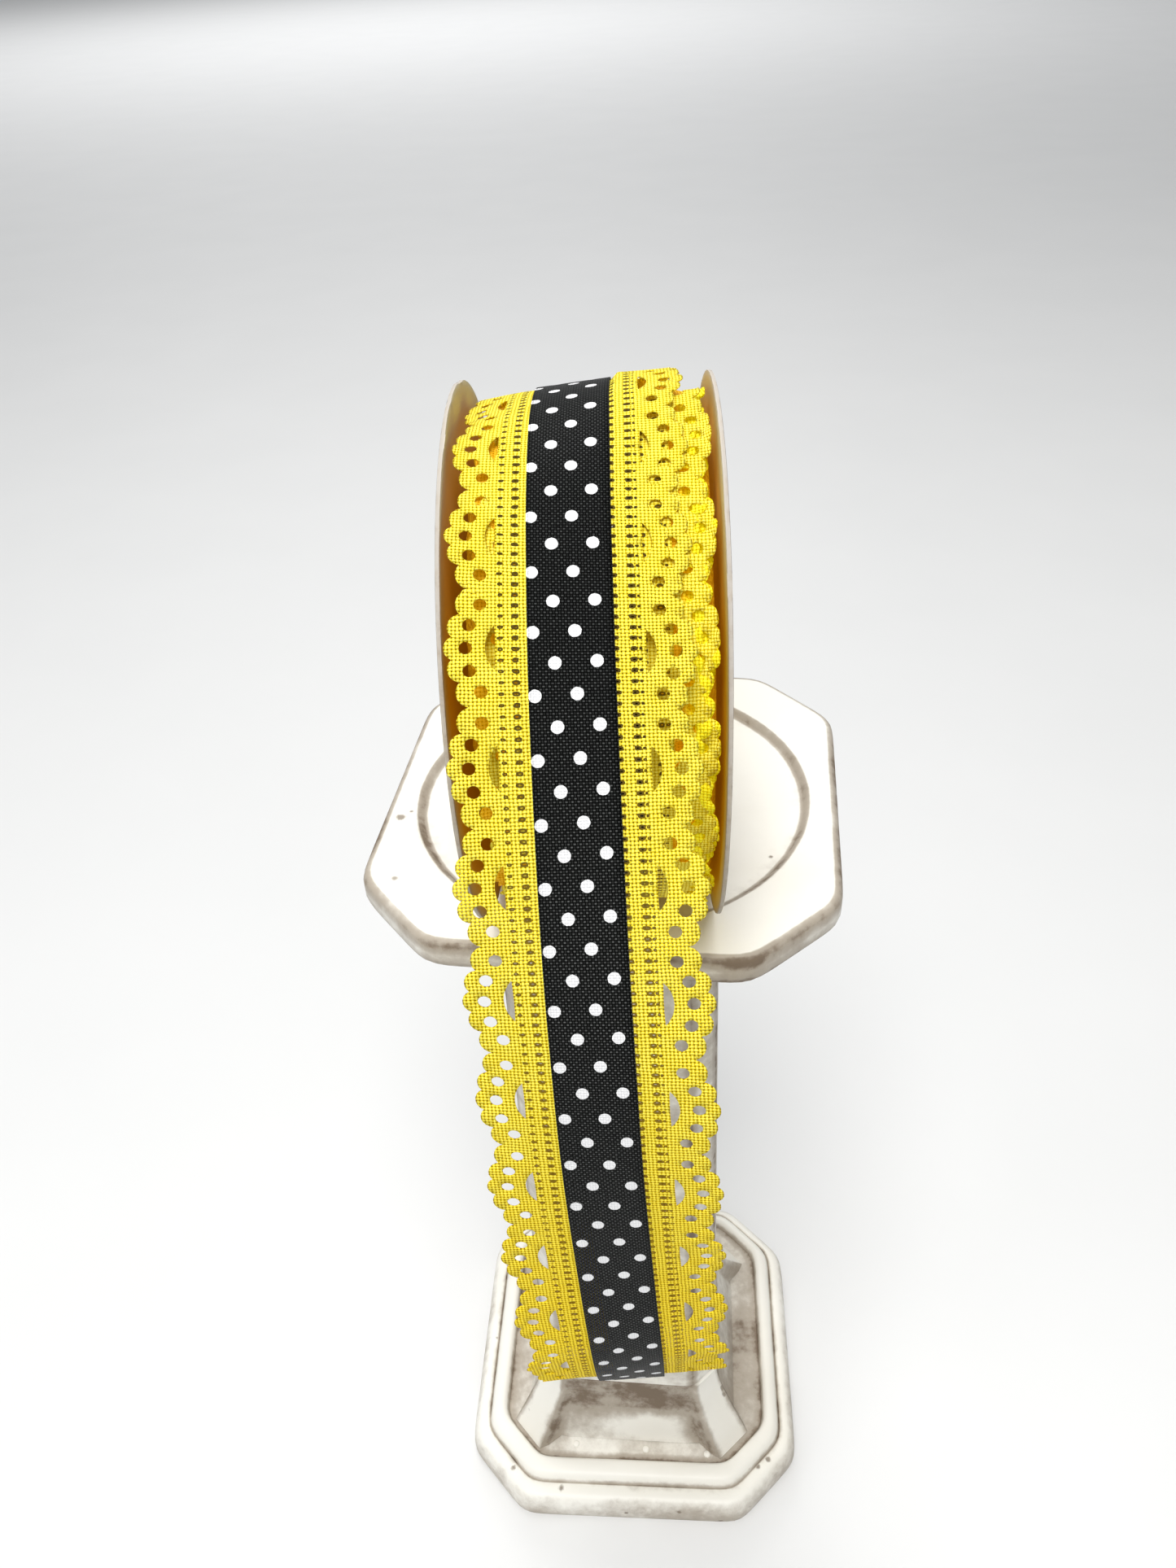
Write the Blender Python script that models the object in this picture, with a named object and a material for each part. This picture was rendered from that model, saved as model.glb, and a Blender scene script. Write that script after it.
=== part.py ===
# Spool of lace-edged dotted ribbon on a painted pedestal stand.
# Metres, +Z up. The origin is the centre of the stand's underside, and -Y is the front.
# The spool stands on its rims in the stand's dish, and its loose end hangs in front of it.

from math import asin, atan2, cos, pi, radians, sin

import bmesh
import bpy
from mathutils import Matrix, Vector

MM = 0.001
GAP = 0.3 * MM

# The stand: an octagonal base, a flared foot, a square post and a dished octagonal plate.
BASE_HALF_WIDTH = 53.5 * MM
BASE_CORNER_CUT = 18.8 * MM
BASE_HEIGHT = 9.4 * MM
FRAME_HEIGHT = 2.6 * MM
FIELD_DROP = 0.6 * MM
FIELD_HALF_WIDTH = 42.5 * MM
FOOT_HEIGHT = 26.0 * MM
FOOT_RIDGE_REACH = 38.0 * MM
FOOT_HOLLOW_REACH = 34.0 * MM
FOOT_HOLLOW_EDGE = 5.0 * MM
POST_FOOT_HALF_WIDTH = 28.0 * MM
POST_TOP_HALF_WIDTH = 25.0 * MM
POST_FOOT_CHAMFER = 7.0 * MM
POST_TOP_CHAMFER = 5.5 * MM
PLATE_TOP = 256.6 * MM
PLATE_THICKNESS = 7.8 * MM
PLATE_HALF_WIDTH = 50.0 * MM
PLATE_CORNER_CUT = 17.8 * MM
DISH_RADIUS = 43.7 * MM
DISH_DEPTH = 1.6 * MM

# The spool: two card flanges with the wound ribbon between them.
FLANGE_RADIUS = 49.4 * MM
FLANGE_THICKNESS = 1.2 * MM
FLANGE_FLAT = 0.4 * MM
FLANGE_SIDES = 90
SPOOL_HALF_WIDTH = 21.8 * MM
SPOOL_FORWARD = 19.2 * MM
SPOOL_TURN = radians(4.2)
ROLL_SIDES = 72

# The ribbon: a dotted band sewn over two lace edgings.
BAND_WIDTH = 12.8 * MM
SHEET_THICKNESS = 1.0 * MM
LAP_UNDER_BAND = 3.5 * MM
SCALLOP_LENGTH = 17.5 * MM
SCALLOP_START = 13.4 * MM
PETAL_BULGE = 1.15 * MM
PETAL_STEPS = 4
CRESCENT_LENGTH = 6.5 * MM
CRESCENT_NEAR = 4.67 * MM
CRESCENT_FAR = 6.1 * MM
CRESCENT_STEPS = 6
TAIL_LENGTH = 214.0 * MM
TAIL_FOLD_STEP = 5.0 * MM

# Where two petals of a scallop meet, in millimetres:
# along the ribbon from the scallop's middle, and out from the band's edge.
SCALLOP_NOTCHES = (
    (-8.75, 8.2),
    (-5.05, 9.35),
    (-1.7, 10.5),
    (1.7, 10.5),
    (5.05, 9.35),
    (8.75, 8.2),
)

# The loose end's course, in millimetres and degrees: length from the top of the roll,
# heading below level, twist with the right edge outward, and place along the spool's axis.
TAIL_COURSE = (
    (0.0, 0.5, 6.5, -2.0),
    (9.3, 15.5, 2.0, -2.0),
    (18.7, 26.1, -2.0, -2.0),
    (28.0, 32.3, -4.5, -2.0),
    (37.3, 35.6, -5.8, -1.9),
    (56.0, 49.2, -6.0, -1.7),
    (74.6, 56.0, -3.4, -1.4),
    (93.3, 60.7, 0.3, -1.0),
    (111.9, 71.1, 3.2, -0.4),
    (130.6, 81.0, 3.0, 0.2),
    (149.2, 86.6, -0.2, 1.0),
    (167.9, 86.2, -4.2, 1.9),
    (177.2, 89.8, -5.7, 2.4),
    (186.6, 99.0, -6.3, 2.8),
    (195.9, 108.0, -5.7, 3.0),
    (205.2, 113.0, -3.7, 3.1),
    (214.6, 140.0, -2.0, 3.1),
)
COURSE_START_Z = 48.2 * MM
COURSE_STEP = 1.0 * MM

# The roll's outer face, in degrees and millimetres: angle from the top towards the front,
# radius, and slope with the right side higher. The last turn ends in a step at the top.
ROLL_FACE = (
    (0.0, 45.3, 6.5),
    (11.0, 45.0, 2.0),
    (22.0, 44.3, -2.0),
    (34.0, 44.0, -5.0),
    (45.0, 44.0, -6.0),
    (60.0, 44.4, -5.0),
    (90.0, 44.8, -3.0),
    (140.0, 45.2, 0.0),
    (200.0, 45.9, 1.5),
    (260.0, 46.5, 3.0),
    (320.0, 47.2, 4.5),
    (355.0, 47.6, 5.5),
    (360.0, 45.3, 6.5),
)
ROLL_LEFT_EDGE = (5.0 * MM, 7.0 * MM)
ROLL_RIGHT_EDGE = (3.0 * MM, 3.0 * MM)
ROLL_WAVE = 0.4 * MM
ROLL_WAVES = 17


def clear_scene():
    for old in list(bpy.data.objects):
        bpy.data.objects.remove(old, do_unlink=True)


def material(name, colour, roughness):
    made = bpy.data.materials.new(name)
    made.use_nodes = True
    shader = made.node_tree.nodes["Principled BSDF"]
    shader.inputs["Base Color"].default_value = (*colour, 1.0)
    shader.inputs["Roughness"].default_value = roughness
    shader.inputs["Metallic"].default_value = 0.0
    return made


def place(bm, name, finish, parent=None):
    """Turn a bmesh into a named object with one material."""
    bmesh.ops.recalc_face_normals(bm, faces=bm.faces)
    if bm.calc_volume(signed=True) < 0.0:
        bmesh.ops.reverse_faces(bm, faces=bm.faces)
    mesh = bpy.data.meshes.new(name)
    bm.to_mesh(mesh)
    bm.free()
    mesh.materials.append(finish)
    piece = bpy.data.objects.new(name, mesh)
    bpy.context.scene.collection.objects.link(piece)
    piece.parent = parent
    return piece


def read_course(table, column, at):
    """Read one column of a table as a smooth curve through its rows."""
    last = len(table) - 2
    row = 0
    while row < last and table[row + 1][0] < at:
        row += 1
    before = table[max(row - 1, 0)]
    start = table[row]
    end = table[row + 1]
    after = table[min(row + 2, len(table) - 1)]
    span = end[0] - start[0]
    slope_in = (end[column] - before[column]) / (end[0] - before[0])
    slope_out = (after[column] - start[column]) / (after[0] - start[0])
    t = min(max((at - start[0]) / span, 0.0), 1.0)
    value = (2 * t**3 - 3 * t**2 + 1) * start[column]
    value += (t**3 - 2 * t**2 + t) * span * slope_in
    value += (3 * t**2 - 2 * t**3) * end[column]
    value += (t**3 - t**2) * span * slope_out
    return value


# Stand


def octagon(half_width, corner_cut, height):
    """Corners of a square with its corners cut off, counter-clockwise."""
    near = half_width - corner_cut
    first = ((half_width, -near), (half_width, near), (near, half_width), (-near, half_width))
    points = list(first) + [(-x, -y) for x, y in first]
    return [Vector((x, y, height)) for x, y in points]


def stacked(outlines):
    """A closed solid through outlines of equal length, from the lowest to the last."""
    bm = bmesh.new()
    ring = [bm.verts.new(point) for point in outlines[0]]
    bm.faces.new(ring[::-1])
    for outline in outlines[1:]:
        above = [bm.verts.new(point) for point in outline]
        for index, vert in enumerate(ring):
            following = (index + 1) % len(ring)
            bm.faces.new((vert, ring[following], above[following], above[index]))
        ring = above
    bm.faces.new(ring)
    return bm


def make_base(paint):
    """The octagonal slab with a raised frame round a sunken field."""
    rim_top = BASE_HEIGHT + FRAME_HEIGHT
    steps = (
        (BASE_HALF_WIDTH - 0.8 * MM, 0.0),
        (BASE_HALF_WIDTH, 1.0 * MM),
        (BASE_HALF_WIDTH, BASE_HEIGHT - 2.0 * MM),
        (BASE_HALF_WIDTH - 1.6 * MM, BASE_HEIGHT),
        (BASE_HALF_WIDTH - 4.4 * MM, BASE_HEIGHT),
        (BASE_HALF_WIDTH - 5.0 * MM, BASE_HEIGHT - 1.0 * MM),
        (BASE_HALF_WIDTH - 5.6 * MM, BASE_HEIGHT),
        (BASE_HALF_WIDTH - 6.4 * MM, rim_top),
        (BASE_HALF_WIDTH - 8.8 * MM, rim_top),
        (FIELD_HALF_WIDTH, BASE_HEIGHT - FIELD_DROP),
    )
    ratio = BASE_CORNER_CUT / BASE_HALF_WIDTH
    outlines = [octagon(width, width * ratio, height) for width, height in steps]
    return place(stacked(outlines), "stand_base", paint)


def make_foot(paint):
    """The flared foot: four diagonal ridges with a hollow side between each two."""
    levels = 7
    bottom = BASE_HEIGHT - FIELD_DROP + GAP
    outlines = []
    for level in range(levels + 1):
        up = level / levels
        flare = (1.0 - up) ** 2
        ridge = POST_FOOT_HALF_WIDTH + (FOOT_RIDGE_REACH - POST_FOOT_HALF_WIDTH) * flare
        hollow = POST_FOOT_HALF_WIDTH + (FOOT_HOLLOW_REACH - POST_FOOT_HALF_WIDTH) * flare
        inner = hollow - POST_FOOT_CHAMFER - FOOT_HOLLOW_EDGE
        quarter = (
            (hollow, 0.0),
            (hollow, inner),
            (ridge, ridge - POST_FOOT_CHAMFER),
            (ridge - POST_FOOT_CHAMFER, ridge),
            (inner, hollow),
        )
        height = bottom + FOOT_HEIGHT * up
        outline = []
        for turn in range(4):
            spin = Matrix.Rotation(turn * pi / 2, 3, "Z")
            outline += [spin @ Vector((x, y, height)) for x, y in quarter]
        outlines.append(outline)
    return place(stacked(outlines), "stand_foot", paint)


def make_post(paint):
    """The square post with its corners cut, a little narrower at the top."""
    bottom = BASE_HEIGHT - FIELD_DROP + FOOT_HEIGHT + 2 * GAP
    top = PLATE_TOP - PLATE_THICKNESS - GAP
    outlines = [
        octagon(POST_FOOT_HALF_WIDTH, POST_FOOT_CHAMFER, bottom),
        octagon(POST_TOP_HALF_WIDTH, POST_TOP_CHAMFER, top),
    ]
    return place(stacked(outlines), "stand_post", paint)


def make_plate(paint):
    """The octagonal plate, its edge rounded, with a shallow round dish cut in its top."""
    bottom = PLATE_TOP - PLATE_THICKNESS
    steps = (
        (PLATE_HALF_WIDTH - 2.4 * MM, bottom),
        (PLATE_HALF_WIDTH - 0.7 * MM, bottom + 0.9 * MM),
        (PLATE_HALF_WIDTH, bottom + 2.6 * MM),
        (PLATE_HALF_WIDTH, PLATE_TOP - 2.4 * MM),
        (PLATE_HALF_WIDTH - 0.7 * MM, PLATE_TOP - 0.8 * MM),
        (PLATE_HALF_WIDTH - 2.2 * MM, PLATE_TOP),
    )
    ratio = PLATE_CORNER_CUT / PLATE_HALF_WIDTH
    outlines = [octagon(width, width * ratio, height) for width, height in steps]
    plate = place(stacked(outlines), "stand_plate", paint)

    bm = bmesh.new()
    bmesh.ops.create_cone(
        bm,
        cap_ends=True,
        segments=64,
        radius1=DISH_RADIUS - DISH_DEPTH,
        radius2=DISH_RADIUS + DISH_DEPTH,
        depth=2 * DISH_DEPTH,
        matrix=Matrix.Translation((0.0, 0.0, PLATE_TOP)),
    )
    cutter = place(bm, "dish_cutter", paint)
    cutter.hide_render = True
    cutter.display_type = "WIRE"
    cut = plate.modifiers.new("Dish", "BOOLEAN")
    cut.operation = "DIFFERENCE"
    cut.solver = "EXACT"
    cut.object = cutter
    return plate


# Spool


def make_spool_axis():
    """The empty at the spool's centre, which carries the flanges, the roll and the tail."""
    dish_floor = PLATE_TOP - DISH_DEPTH
    rim_height = FLANGE_RADIUS - FLANGE_FLAT
    axis = bpy.data.objects.new("spool_axis", None)
    axis.location = (0.6 * MM, -SPOOL_FORWARD, dish_floor + GAP + rim_height)
    axis.rotation_euler = (0.0, 0.0, SPOOL_TURN)
    bpy.context.scene.collection.objects.link(axis)
    return axis


def make_flange(name, side, card, axis):
    """A plain card disc, worn a little flat where it stands."""
    bm = bmesh.new()
    middle = side * (SPOOL_HALF_WIDTH - FLANGE_THICKNESS / 2)
    lay_on_axis = Matrix.Translation((middle, 0.0, 0.0)) @ Matrix.Rotation(pi / 2, 4, "Y")
    bmesh.ops.create_cone(
        bm,
        cap_ends=True,
        segments=FLANGE_SIDES,
        radius1=FLANGE_RADIUS,
        radius2=FLANGE_RADIUS,
        depth=FLANGE_THICKNESS,
        matrix=lay_on_axis,
    )
    lowest = FLANGE_FLAT - FLANGE_RADIUS
    for vert in bm.verts:
        vert.co.z = max(vert.co.z, lowest)
    return place(bm, name, card, axis)


def roll_radius(angle, across):
    """Radius of the roll's face at an angle from the top and a place along its axis."""
    degrees = (angle * 180.0 / pi) % 360.0
    radius = read_course(ROLL_FACE, 1, degrees) * MM
    slope = radians(read_course(ROLL_FACE, 2, degrees))
    half = SPOOL_HALF_WIDTH - FLANGE_THICKNESS - GAP
    radius += across * sin(slope)
    left = max(0.0, 1.0 - (across + half) / ROLL_LEFT_EDGE[0])
    right = max(0.0, 1.0 - (half - across) / ROLL_RIGHT_EDGE[0])
    radius -= ROLL_LEFT_EDGE[1] * left**2 + ROLL_RIGHT_EDGE[1] * right**2
    edge_share = max(0.0, across / half)
    radius -= ROLL_WAVE * edge_share * (1.0 + cos(ROLL_WAVES * angle))
    return radius


def make_roll(cloth, axis):
    """The wound turns as one body, each row across them set to the roll's own face."""
    half = SPOOL_HALF_WIDTH - FLANGE_THICKNESS - GAP
    bm = bmesh.new()
    bmesh.ops.create_cone(
        bm,
        cap_ends=True,
        segments=ROLL_SIDES,
        radius1=FLANGE_RADIUS,
        radius2=FLANGE_RADIUS,
        depth=2 * half,
        matrix=Matrix.Rotation(pi / 2, 4, "Y"),
    )
    for across in (-18.8, -17.3, -15.3, -8.0, 0.0, 8.0, 14.0, 17.3, 19.0):
        everything = bm.verts[:] + bm.edges[:] + bm.faces[:]
        bmesh.ops.bisect_plane(bm, geom=everything, plane_co=(across * MM, 0, 0), plane_no=(1, 0, 0))
    for vert in bm.verts:
        angle = atan2(-vert.co.y, vert.co.z)
        radius = roll_radius(angle, vert.co.x)
        vert.co.y = -radius * sin(angle)
        vert.co.z = radius * cos(angle)
    return place(bm, "wound_roll", cloth, axis)


# Loose end


def course_frames():
    """Centre, tangent, across and outward directions along the loose end, at even steps."""
    frames = []
    centre = Vector((TAIL_COURSE[0][3] * MM, 0.0, COURSE_START_Z))
    count = round(TAIL_LENGTH / COURSE_STEP) + 2
    for index in range(count):
        length = index * COURSE_STEP / MM
        heading = radians(read_course(TAIL_COURSE, 1, length))
        twist = radians(read_course(TAIL_COURSE, 2, length))
        along = Vector((0.0, -cos(heading), -sin(heading)))
        level_out = Vector((0.0, -sin(heading), cos(heading)))
        level_across = Vector((1.0, 0.0, 0.0))
        across = level_across * cos(twist) + level_out * sin(twist)
        outward = level_out * cos(twist) - level_across * sin(twist)
        centre.x = read_course(TAIL_COURSE, 3, length) * MM
        frames.append((centre.copy(), along, across, outward))
        centre = centre + along * COURSE_STEP
    return frames


def bend_onto_course(bm, frames):
    """Carry a flat piece, laid out as across, along and outward, onto the loose end's course."""
    for vert in bm.verts:
        place_along = vert.co.y / COURSE_STEP
        index = min(int(place_along), len(frames) - 2)
        share = place_along - index
        here = frames[index]
        there = frames[index + 1]
        centre = here[0].lerp(there[0], share)
        across = here[2].lerp(there[2], share).normalized()
        outward = here[3].lerp(there[3], share).normalized()
        vert.co = centre + across * vert.co.x + outward * vert.co.z


def arc(start, end, bulge, steps):
    """Points of an arc that stands out from its chord by the bulge, without the last one."""
    chord = (end - start).length
    radius = (chord * chord / 4 + bulge * bulge) / (2 * bulge)
    half_angle = asin(min(chord / (2 * radius), 1.0))
    forward = (end - start).normalized()
    out = Vector((forward.y, -forward.x))
    centre = (start + end) / 2 + out * (bulge - radius)
    points = []
    for step in range(steps):
        angle = -half_angle + 2 * half_angle * step / steps
        points.append(centre + out * radius * cos(angle) + forward * radius * sin(angle))
    return points


def scallop_middles(margin):
    """Middles of the scallops whose middle lies on the loose end, by a margin at both ends."""
    count = int(TAIL_LENGTH / SCALLOP_LENGTH) + 2
    middles = [SCALLOP_START + number * SCALLOP_LENGTH for number in range(-1, count)]
    return [middle for middle in middles if margin < middle < TAIL_LENGTH - margin]


def lace_outline():
    """Outline of one edging laid flat: out from the band's edge, and along the ribbon."""
    edge = []
    for middle in scallop_middles(-SCALLOP_LENGTH):
        notches = [Vector((out * MM, middle + along * MM)) for along, out in SCALLOP_NOTCHES]
        for start, end in zip(notches, notches[1:]):
            edge += arc(start, end, PETAL_BULGE, PETAL_STEPS)
    first = GAP
    inside = [point for point in edge if first < point.y < TAIL_LENGTH]
    start = Vector((inside[0].x, first))
    end = Vector((inside[-1].x, TAIL_LENGTH))
    return [Vector((-LAP_UNDER_BAND, first)), start, *inside, end, Vector((-LAP_UNDER_BAND, TAIL_LENGTH))]


def crescent(middle):
    """The half-moon opening of one scallop, its straight side towards the band."""
    half = CRESCENT_LENGTH / 2
    start = Vector((CRESCENT_NEAR, middle - half))
    end = Vector((CRESCENT_NEAR, middle + half))
    return arc(start, end, CRESCENT_FAR - CRESCENT_NEAR, CRESCENT_STEPS) + [end]


def cut_sheet(loops, thickness, lowest):
    """Fill flat loops, crease them across for bending, and give them their thickness."""
    bm = bmesh.new()
    edges = []
    for loop in loops:
        ring = [bm.verts.new((point.x, point.y, lowest)) for point in loop]
        for index, vert in enumerate(ring):
            edges.append(bm.edges.new((vert, ring[(index + 1) % len(ring)])))
    bmesh.ops.triangle_fill(bm, edges=edges, use_beauty=True)
    folds = int(TAIL_LENGTH / TAIL_FOLD_STEP)
    for fold in range(1, folds + 1):
        everything = bm.verts[:] + bm.edges[:] + bm.faces[:]
        line = (0.0, fold * TAIL_FOLD_STEP, 0.0)
        bmesh.ops.bisect_plane(bm, geom=everything, plane_co=line, plane_no=(0, 1, 0), dist=1e-7)
    grown = bmesh.ops.extrude_face_region(bm, geom=bm.faces[:])
    raised = [item for item in grown["geom"] if isinstance(item, bmesh.types.BMVert)]
    bmesh.ops.translate(bm, vec=(0.0, 0.0, thickness), verts=raised)
    return bm


def make_band(cloth, frames, axis):
    """The dotted band of the loose end, on top of the edgings."""
    half = BAND_WIDTH / 2
    corners = ((-half, GAP), (half, GAP), (half, TAIL_LENGTH), (-half, TAIL_LENGTH))
    bm = cut_sheet([[Vector(corner) for corner in corners]], SHEET_THICKNESS, -SHEET_THICKNESS)
    bend_onto_course(bm, frames)
    return place(bm, "band_tail", cloth, axis)


def make_lace(name, side, cloth, frames, axis):
    """One lace edging of the loose end, lapped under the band."""
    loops = [lace_outline()]
    loops += [crescent(middle) for middle in scallop_middles(CRESCENT_LENGTH)]
    lowest = -2 * SHEET_THICKNESS - GAP
    bm = cut_sheet(loops, SHEET_THICKNESS, lowest)
    for vert in bm.verts:
        vert.co.x = side * (BAND_WIDTH / 2 + vert.co.x)
    bend_onto_course(bm, frames)
    return place(bm, name, cloth, axis)


clear_scene()

white_paint = material("white paint", (0.82, 0.80, 0.76), 0.55)
grey_card = material("grey card", (0.46, 0.42, 0.37), 0.8)
yellow_cloth = material("yellow cloth", (0.93, 0.70, 0.03), 0.75)
black_cloth = material("black cloth", (0.02, 0.02, 0.022), 0.6)

make_base(white_paint)
make_foot(white_paint)
make_post(white_paint)
make_plate(white_paint)

spool_axis = make_spool_axis()
make_flange("flange_left", -1, grey_card, spool_axis)
make_flange("flange_right", 1, grey_card, spool_axis)
make_roll(yellow_cloth, spool_axis)

tail_frames = course_frames()
make_band(black_cloth, tail_frames, spool_axis)
make_lace("lace_left_tail", -1, yellow_cloth, tail_frames, spool_axis)
make_lace("lace_right_tail", 1, yellow_cloth, tail_frames, spool_axis)
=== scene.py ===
# A card spool of lace-edged dotted ribbon, standing on a painted pedestal.
# Metres, +Z up, -Y to the front, where the ribbon's loose end hangs. Sizes of ribbon, spool
# and stand are named in millimetres.

from math import asin, atan2, cos, exp, hypot, pi, radians, sin, sqrt

import bmesh
import bpy
from mathutils import Matrix, Vector, noise


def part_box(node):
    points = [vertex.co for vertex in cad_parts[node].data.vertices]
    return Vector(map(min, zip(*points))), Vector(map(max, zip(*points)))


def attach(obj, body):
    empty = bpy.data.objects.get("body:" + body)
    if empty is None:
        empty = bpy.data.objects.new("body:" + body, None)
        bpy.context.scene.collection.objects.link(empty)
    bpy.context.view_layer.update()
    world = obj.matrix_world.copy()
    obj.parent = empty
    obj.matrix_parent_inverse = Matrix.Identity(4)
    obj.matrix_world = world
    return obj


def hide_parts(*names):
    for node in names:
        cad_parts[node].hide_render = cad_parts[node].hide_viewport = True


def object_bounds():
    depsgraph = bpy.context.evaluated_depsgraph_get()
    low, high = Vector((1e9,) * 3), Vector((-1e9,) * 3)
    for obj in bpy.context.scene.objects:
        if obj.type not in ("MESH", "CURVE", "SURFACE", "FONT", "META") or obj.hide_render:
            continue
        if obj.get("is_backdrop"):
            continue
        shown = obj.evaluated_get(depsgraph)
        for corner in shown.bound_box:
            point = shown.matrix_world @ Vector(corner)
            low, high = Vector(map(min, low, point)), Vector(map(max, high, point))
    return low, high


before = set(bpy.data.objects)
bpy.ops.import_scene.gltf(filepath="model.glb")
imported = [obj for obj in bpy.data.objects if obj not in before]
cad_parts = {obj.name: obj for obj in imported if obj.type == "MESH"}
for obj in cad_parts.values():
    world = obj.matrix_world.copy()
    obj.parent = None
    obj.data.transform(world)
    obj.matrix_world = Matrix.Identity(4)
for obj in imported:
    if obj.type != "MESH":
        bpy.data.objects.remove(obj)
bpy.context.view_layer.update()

# Table top, daylight and viewpoint
# A pale level table top in bright, even, overcast light: two soft panels overhead, a large one
# over the far end of the table and a faint window on the left. The viewpoint is a phone held
# above the spool, looking down at it, slightly rolled.

MM = 0.001
VIEW_PLACE = (21.9 * MM, -207.3 * MM, 419.5 * MM)
VIEW_HEADING = radians(7.32)
VIEW_DOWN = radians(37.71)
VIEW_ROLL = radians(-3.43)
VIEW_LENS = 26.89
TABLE_SIZE = 60.0

scene = bpy.context.scene
camera_data = bpy.data.cameras.new("viewpoint")
camera_data.sensor_width = 36.0
camera_data.lens = VIEW_LENS
camera_data.clip_start = 0.01
viewpoint = bpy.data.objects.new("viewpoint", camera_data)
turn = Matrix.Rotation(VIEW_HEADING, 4, "Z") @ Matrix.Rotation(pi / 2 - VIEW_DOWN, 4, "X")
turn = turn @ Matrix.Rotation(VIEW_ROLL, 4, "Z")
viewpoint.matrix_world = Matrix.Translation(VIEW_PLACE) @ turn
scene.collection.objects.link(viewpoint)
scene.camera = viewpoint


def area_light(name, place, aim, size, power, colour):
    """A round soft light at a place, turned to what it lights."""
    data = bpy.data.lights.new(name, "AREA")
    data.shape = "DISK"
    data.size = size
    data.energy = power
    data.color = colour
    light = bpy.data.objects.new(name, data)
    light.location = place
    light.rotation_euler = (Vector(aim) - Vector(place)).to_track_quat("-Z", "Y").to_euler()
    scene.collection.objects.link(light)


area_light("ceiling_panel", (0.0, -0.75, 1.75), (0.0, 0.0, 0.15), 0.9, 25.5, (1.0, 0.99, 0.97))
area_light("ceiling_panel_far", (-0.1, 0.5, 1.8), (0.0, 0.0, 0.15), 0.55, 6.5, (1.0, 0.99, 0.97))
area_light("backdrop_light", (-1.2, 5.0, 3.0), (-1.2, 5.0, 0.0), 3.6, 115.0, (1.0, 1.0, 1.0))
area_light("window_light", (-1.3, -0.6, 0.9), (0.0, 0.0, 0.2), 0.9, 2.4, (0.96, 0.98, 1.0))

world = bpy.data.worlds.new("overcast_room")
world.use_nodes = True
background = world.node_tree.nodes["Background"].inputs
background["Color"].default_value = (0.93, 0.95, 0.97, 1.0)
background["Strength"].default_value = 0.30
scene.world = world
scene.view_settings.view_transform = "Standard"
scene.view_settings.look = "None"
scene.view_settings.exposure = 0.0


def feed(tree, socket, value):
    """Link a socket to another one, or give it a plain value."""
    if isinstance(value, bpy.types.NodeSocket):
        tree.links.new(value, socket)
    elif value is not None:
        socket.default_value = value


def add_node(tree, kind, settings=None, **values):
    """A node by its short kind, its settings, and values for its named input sockets."""
    node = tree.nodes.new("ShaderNode" + kind)
    for name, value in (settings or {}).items():
        setattr(node, name, value)
    for name, value in values.items():
        feed(tree, node.inputs[name.replace("_", " ")], value)
    return node


def mix(tree, share, first, second, blend="MIX"):
    """Two colours mixed by a share, or the second one laid over the first by a blend."""
    node = tree.nodes.new("ShaderNodeMix")
    node.data_type = "RGBA"
    node.blend_type = blend
    feed(tree, node.inputs[0], share)
    feed(tree, node.inputs[6], first)
    feed(tree, node.inputs[7], second)
    return node.outputs[2]


def new_material(name, roughness, specular=0.5):
    """A material, its tree and its shader."""
    made = bpy.data.materials.new(name)
    made.use_nodes = True
    shader = made.node_tree.nodes["Principled BSDF"]
    shader.inputs["Roughness"].default_value = roughness
    shader.inputs["Specular IOR Level"].default_value = specular
    return made, made.node_tree, shader


def speckle(tree, place, scale, detail, **values):
    """Noise from 0 to 1 over a place."""
    noisy = add_node(tree, "TexNoise", Vector=place, Scale=scale, Detail=detail, **values)
    return noisy.outputs[0]


def new_piece(bm, name, finish):
    """A bmesh made an object at the origin, smooth and with one finish."""
    mesh = bpy.data.meshes.new(name)
    bm.to_mesh(mesh)
    bm.free()
    mesh.materials.append(finish)
    mesh.shade_smooth()
    piece = bpy.data.objects.new(name, mesh)
    scene.collection.objects.link(piece)
    return piece


table_paint, tree, shader = new_material("table_white", 0.55)
place = add_node(tree, "TexCoord").outputs["Object"]
cloud = speckle(tree, place, 9.0, 3.0)
table_white = mix(tree, cloud, (0.81, 0.815, 0.815, 1), (0.85, 0.853, 0.853, 1))
feed(tree, shader.inputs["Base Color"], table_white)
bm = bmesh.new()
bmesh.ops.create_grid(bm, x_segments=1, y_segments=1, size=TABLE_SIZE / 2)
table_top = new_piece(bm, "table_top", table_paint)
table_top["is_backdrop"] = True

# The ribbon's course
# One continuous ribbon: it is wound on the spool from the inside out, passes over the top
# and leaves the roll towards the front, where its loose end hangs and curls back under.

SPOOL_TURN = radians(4.2)
FLANGE_RADIUS = 49.4
TAIL_LENGTH = 214.0
TAIL_START_HEIGHT = 48.2
TURNS = 5
TURN_STEP = 0.6
TOP_LIFT = 0.5
COURSE_STEP = 1.0
BAND_HALF = 6.4
# Where the lace edges meet the flanges: half the gap between these, how softly an edge turns
# up there and by how much of its excess, and the length at which the loose end is clear.
WALL_HALF_GAP = 20.25
WALL_SOFTNESS = 0.3
TURN_UP_SHARE = 0.45
CLEAR_OF_FLANGES = 30.0
# The left edging droops behind the top, and the inner part of the right one stands up.
LEFT_DROOP = 1.7
RIGHT_RISE = 1.2

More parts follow.
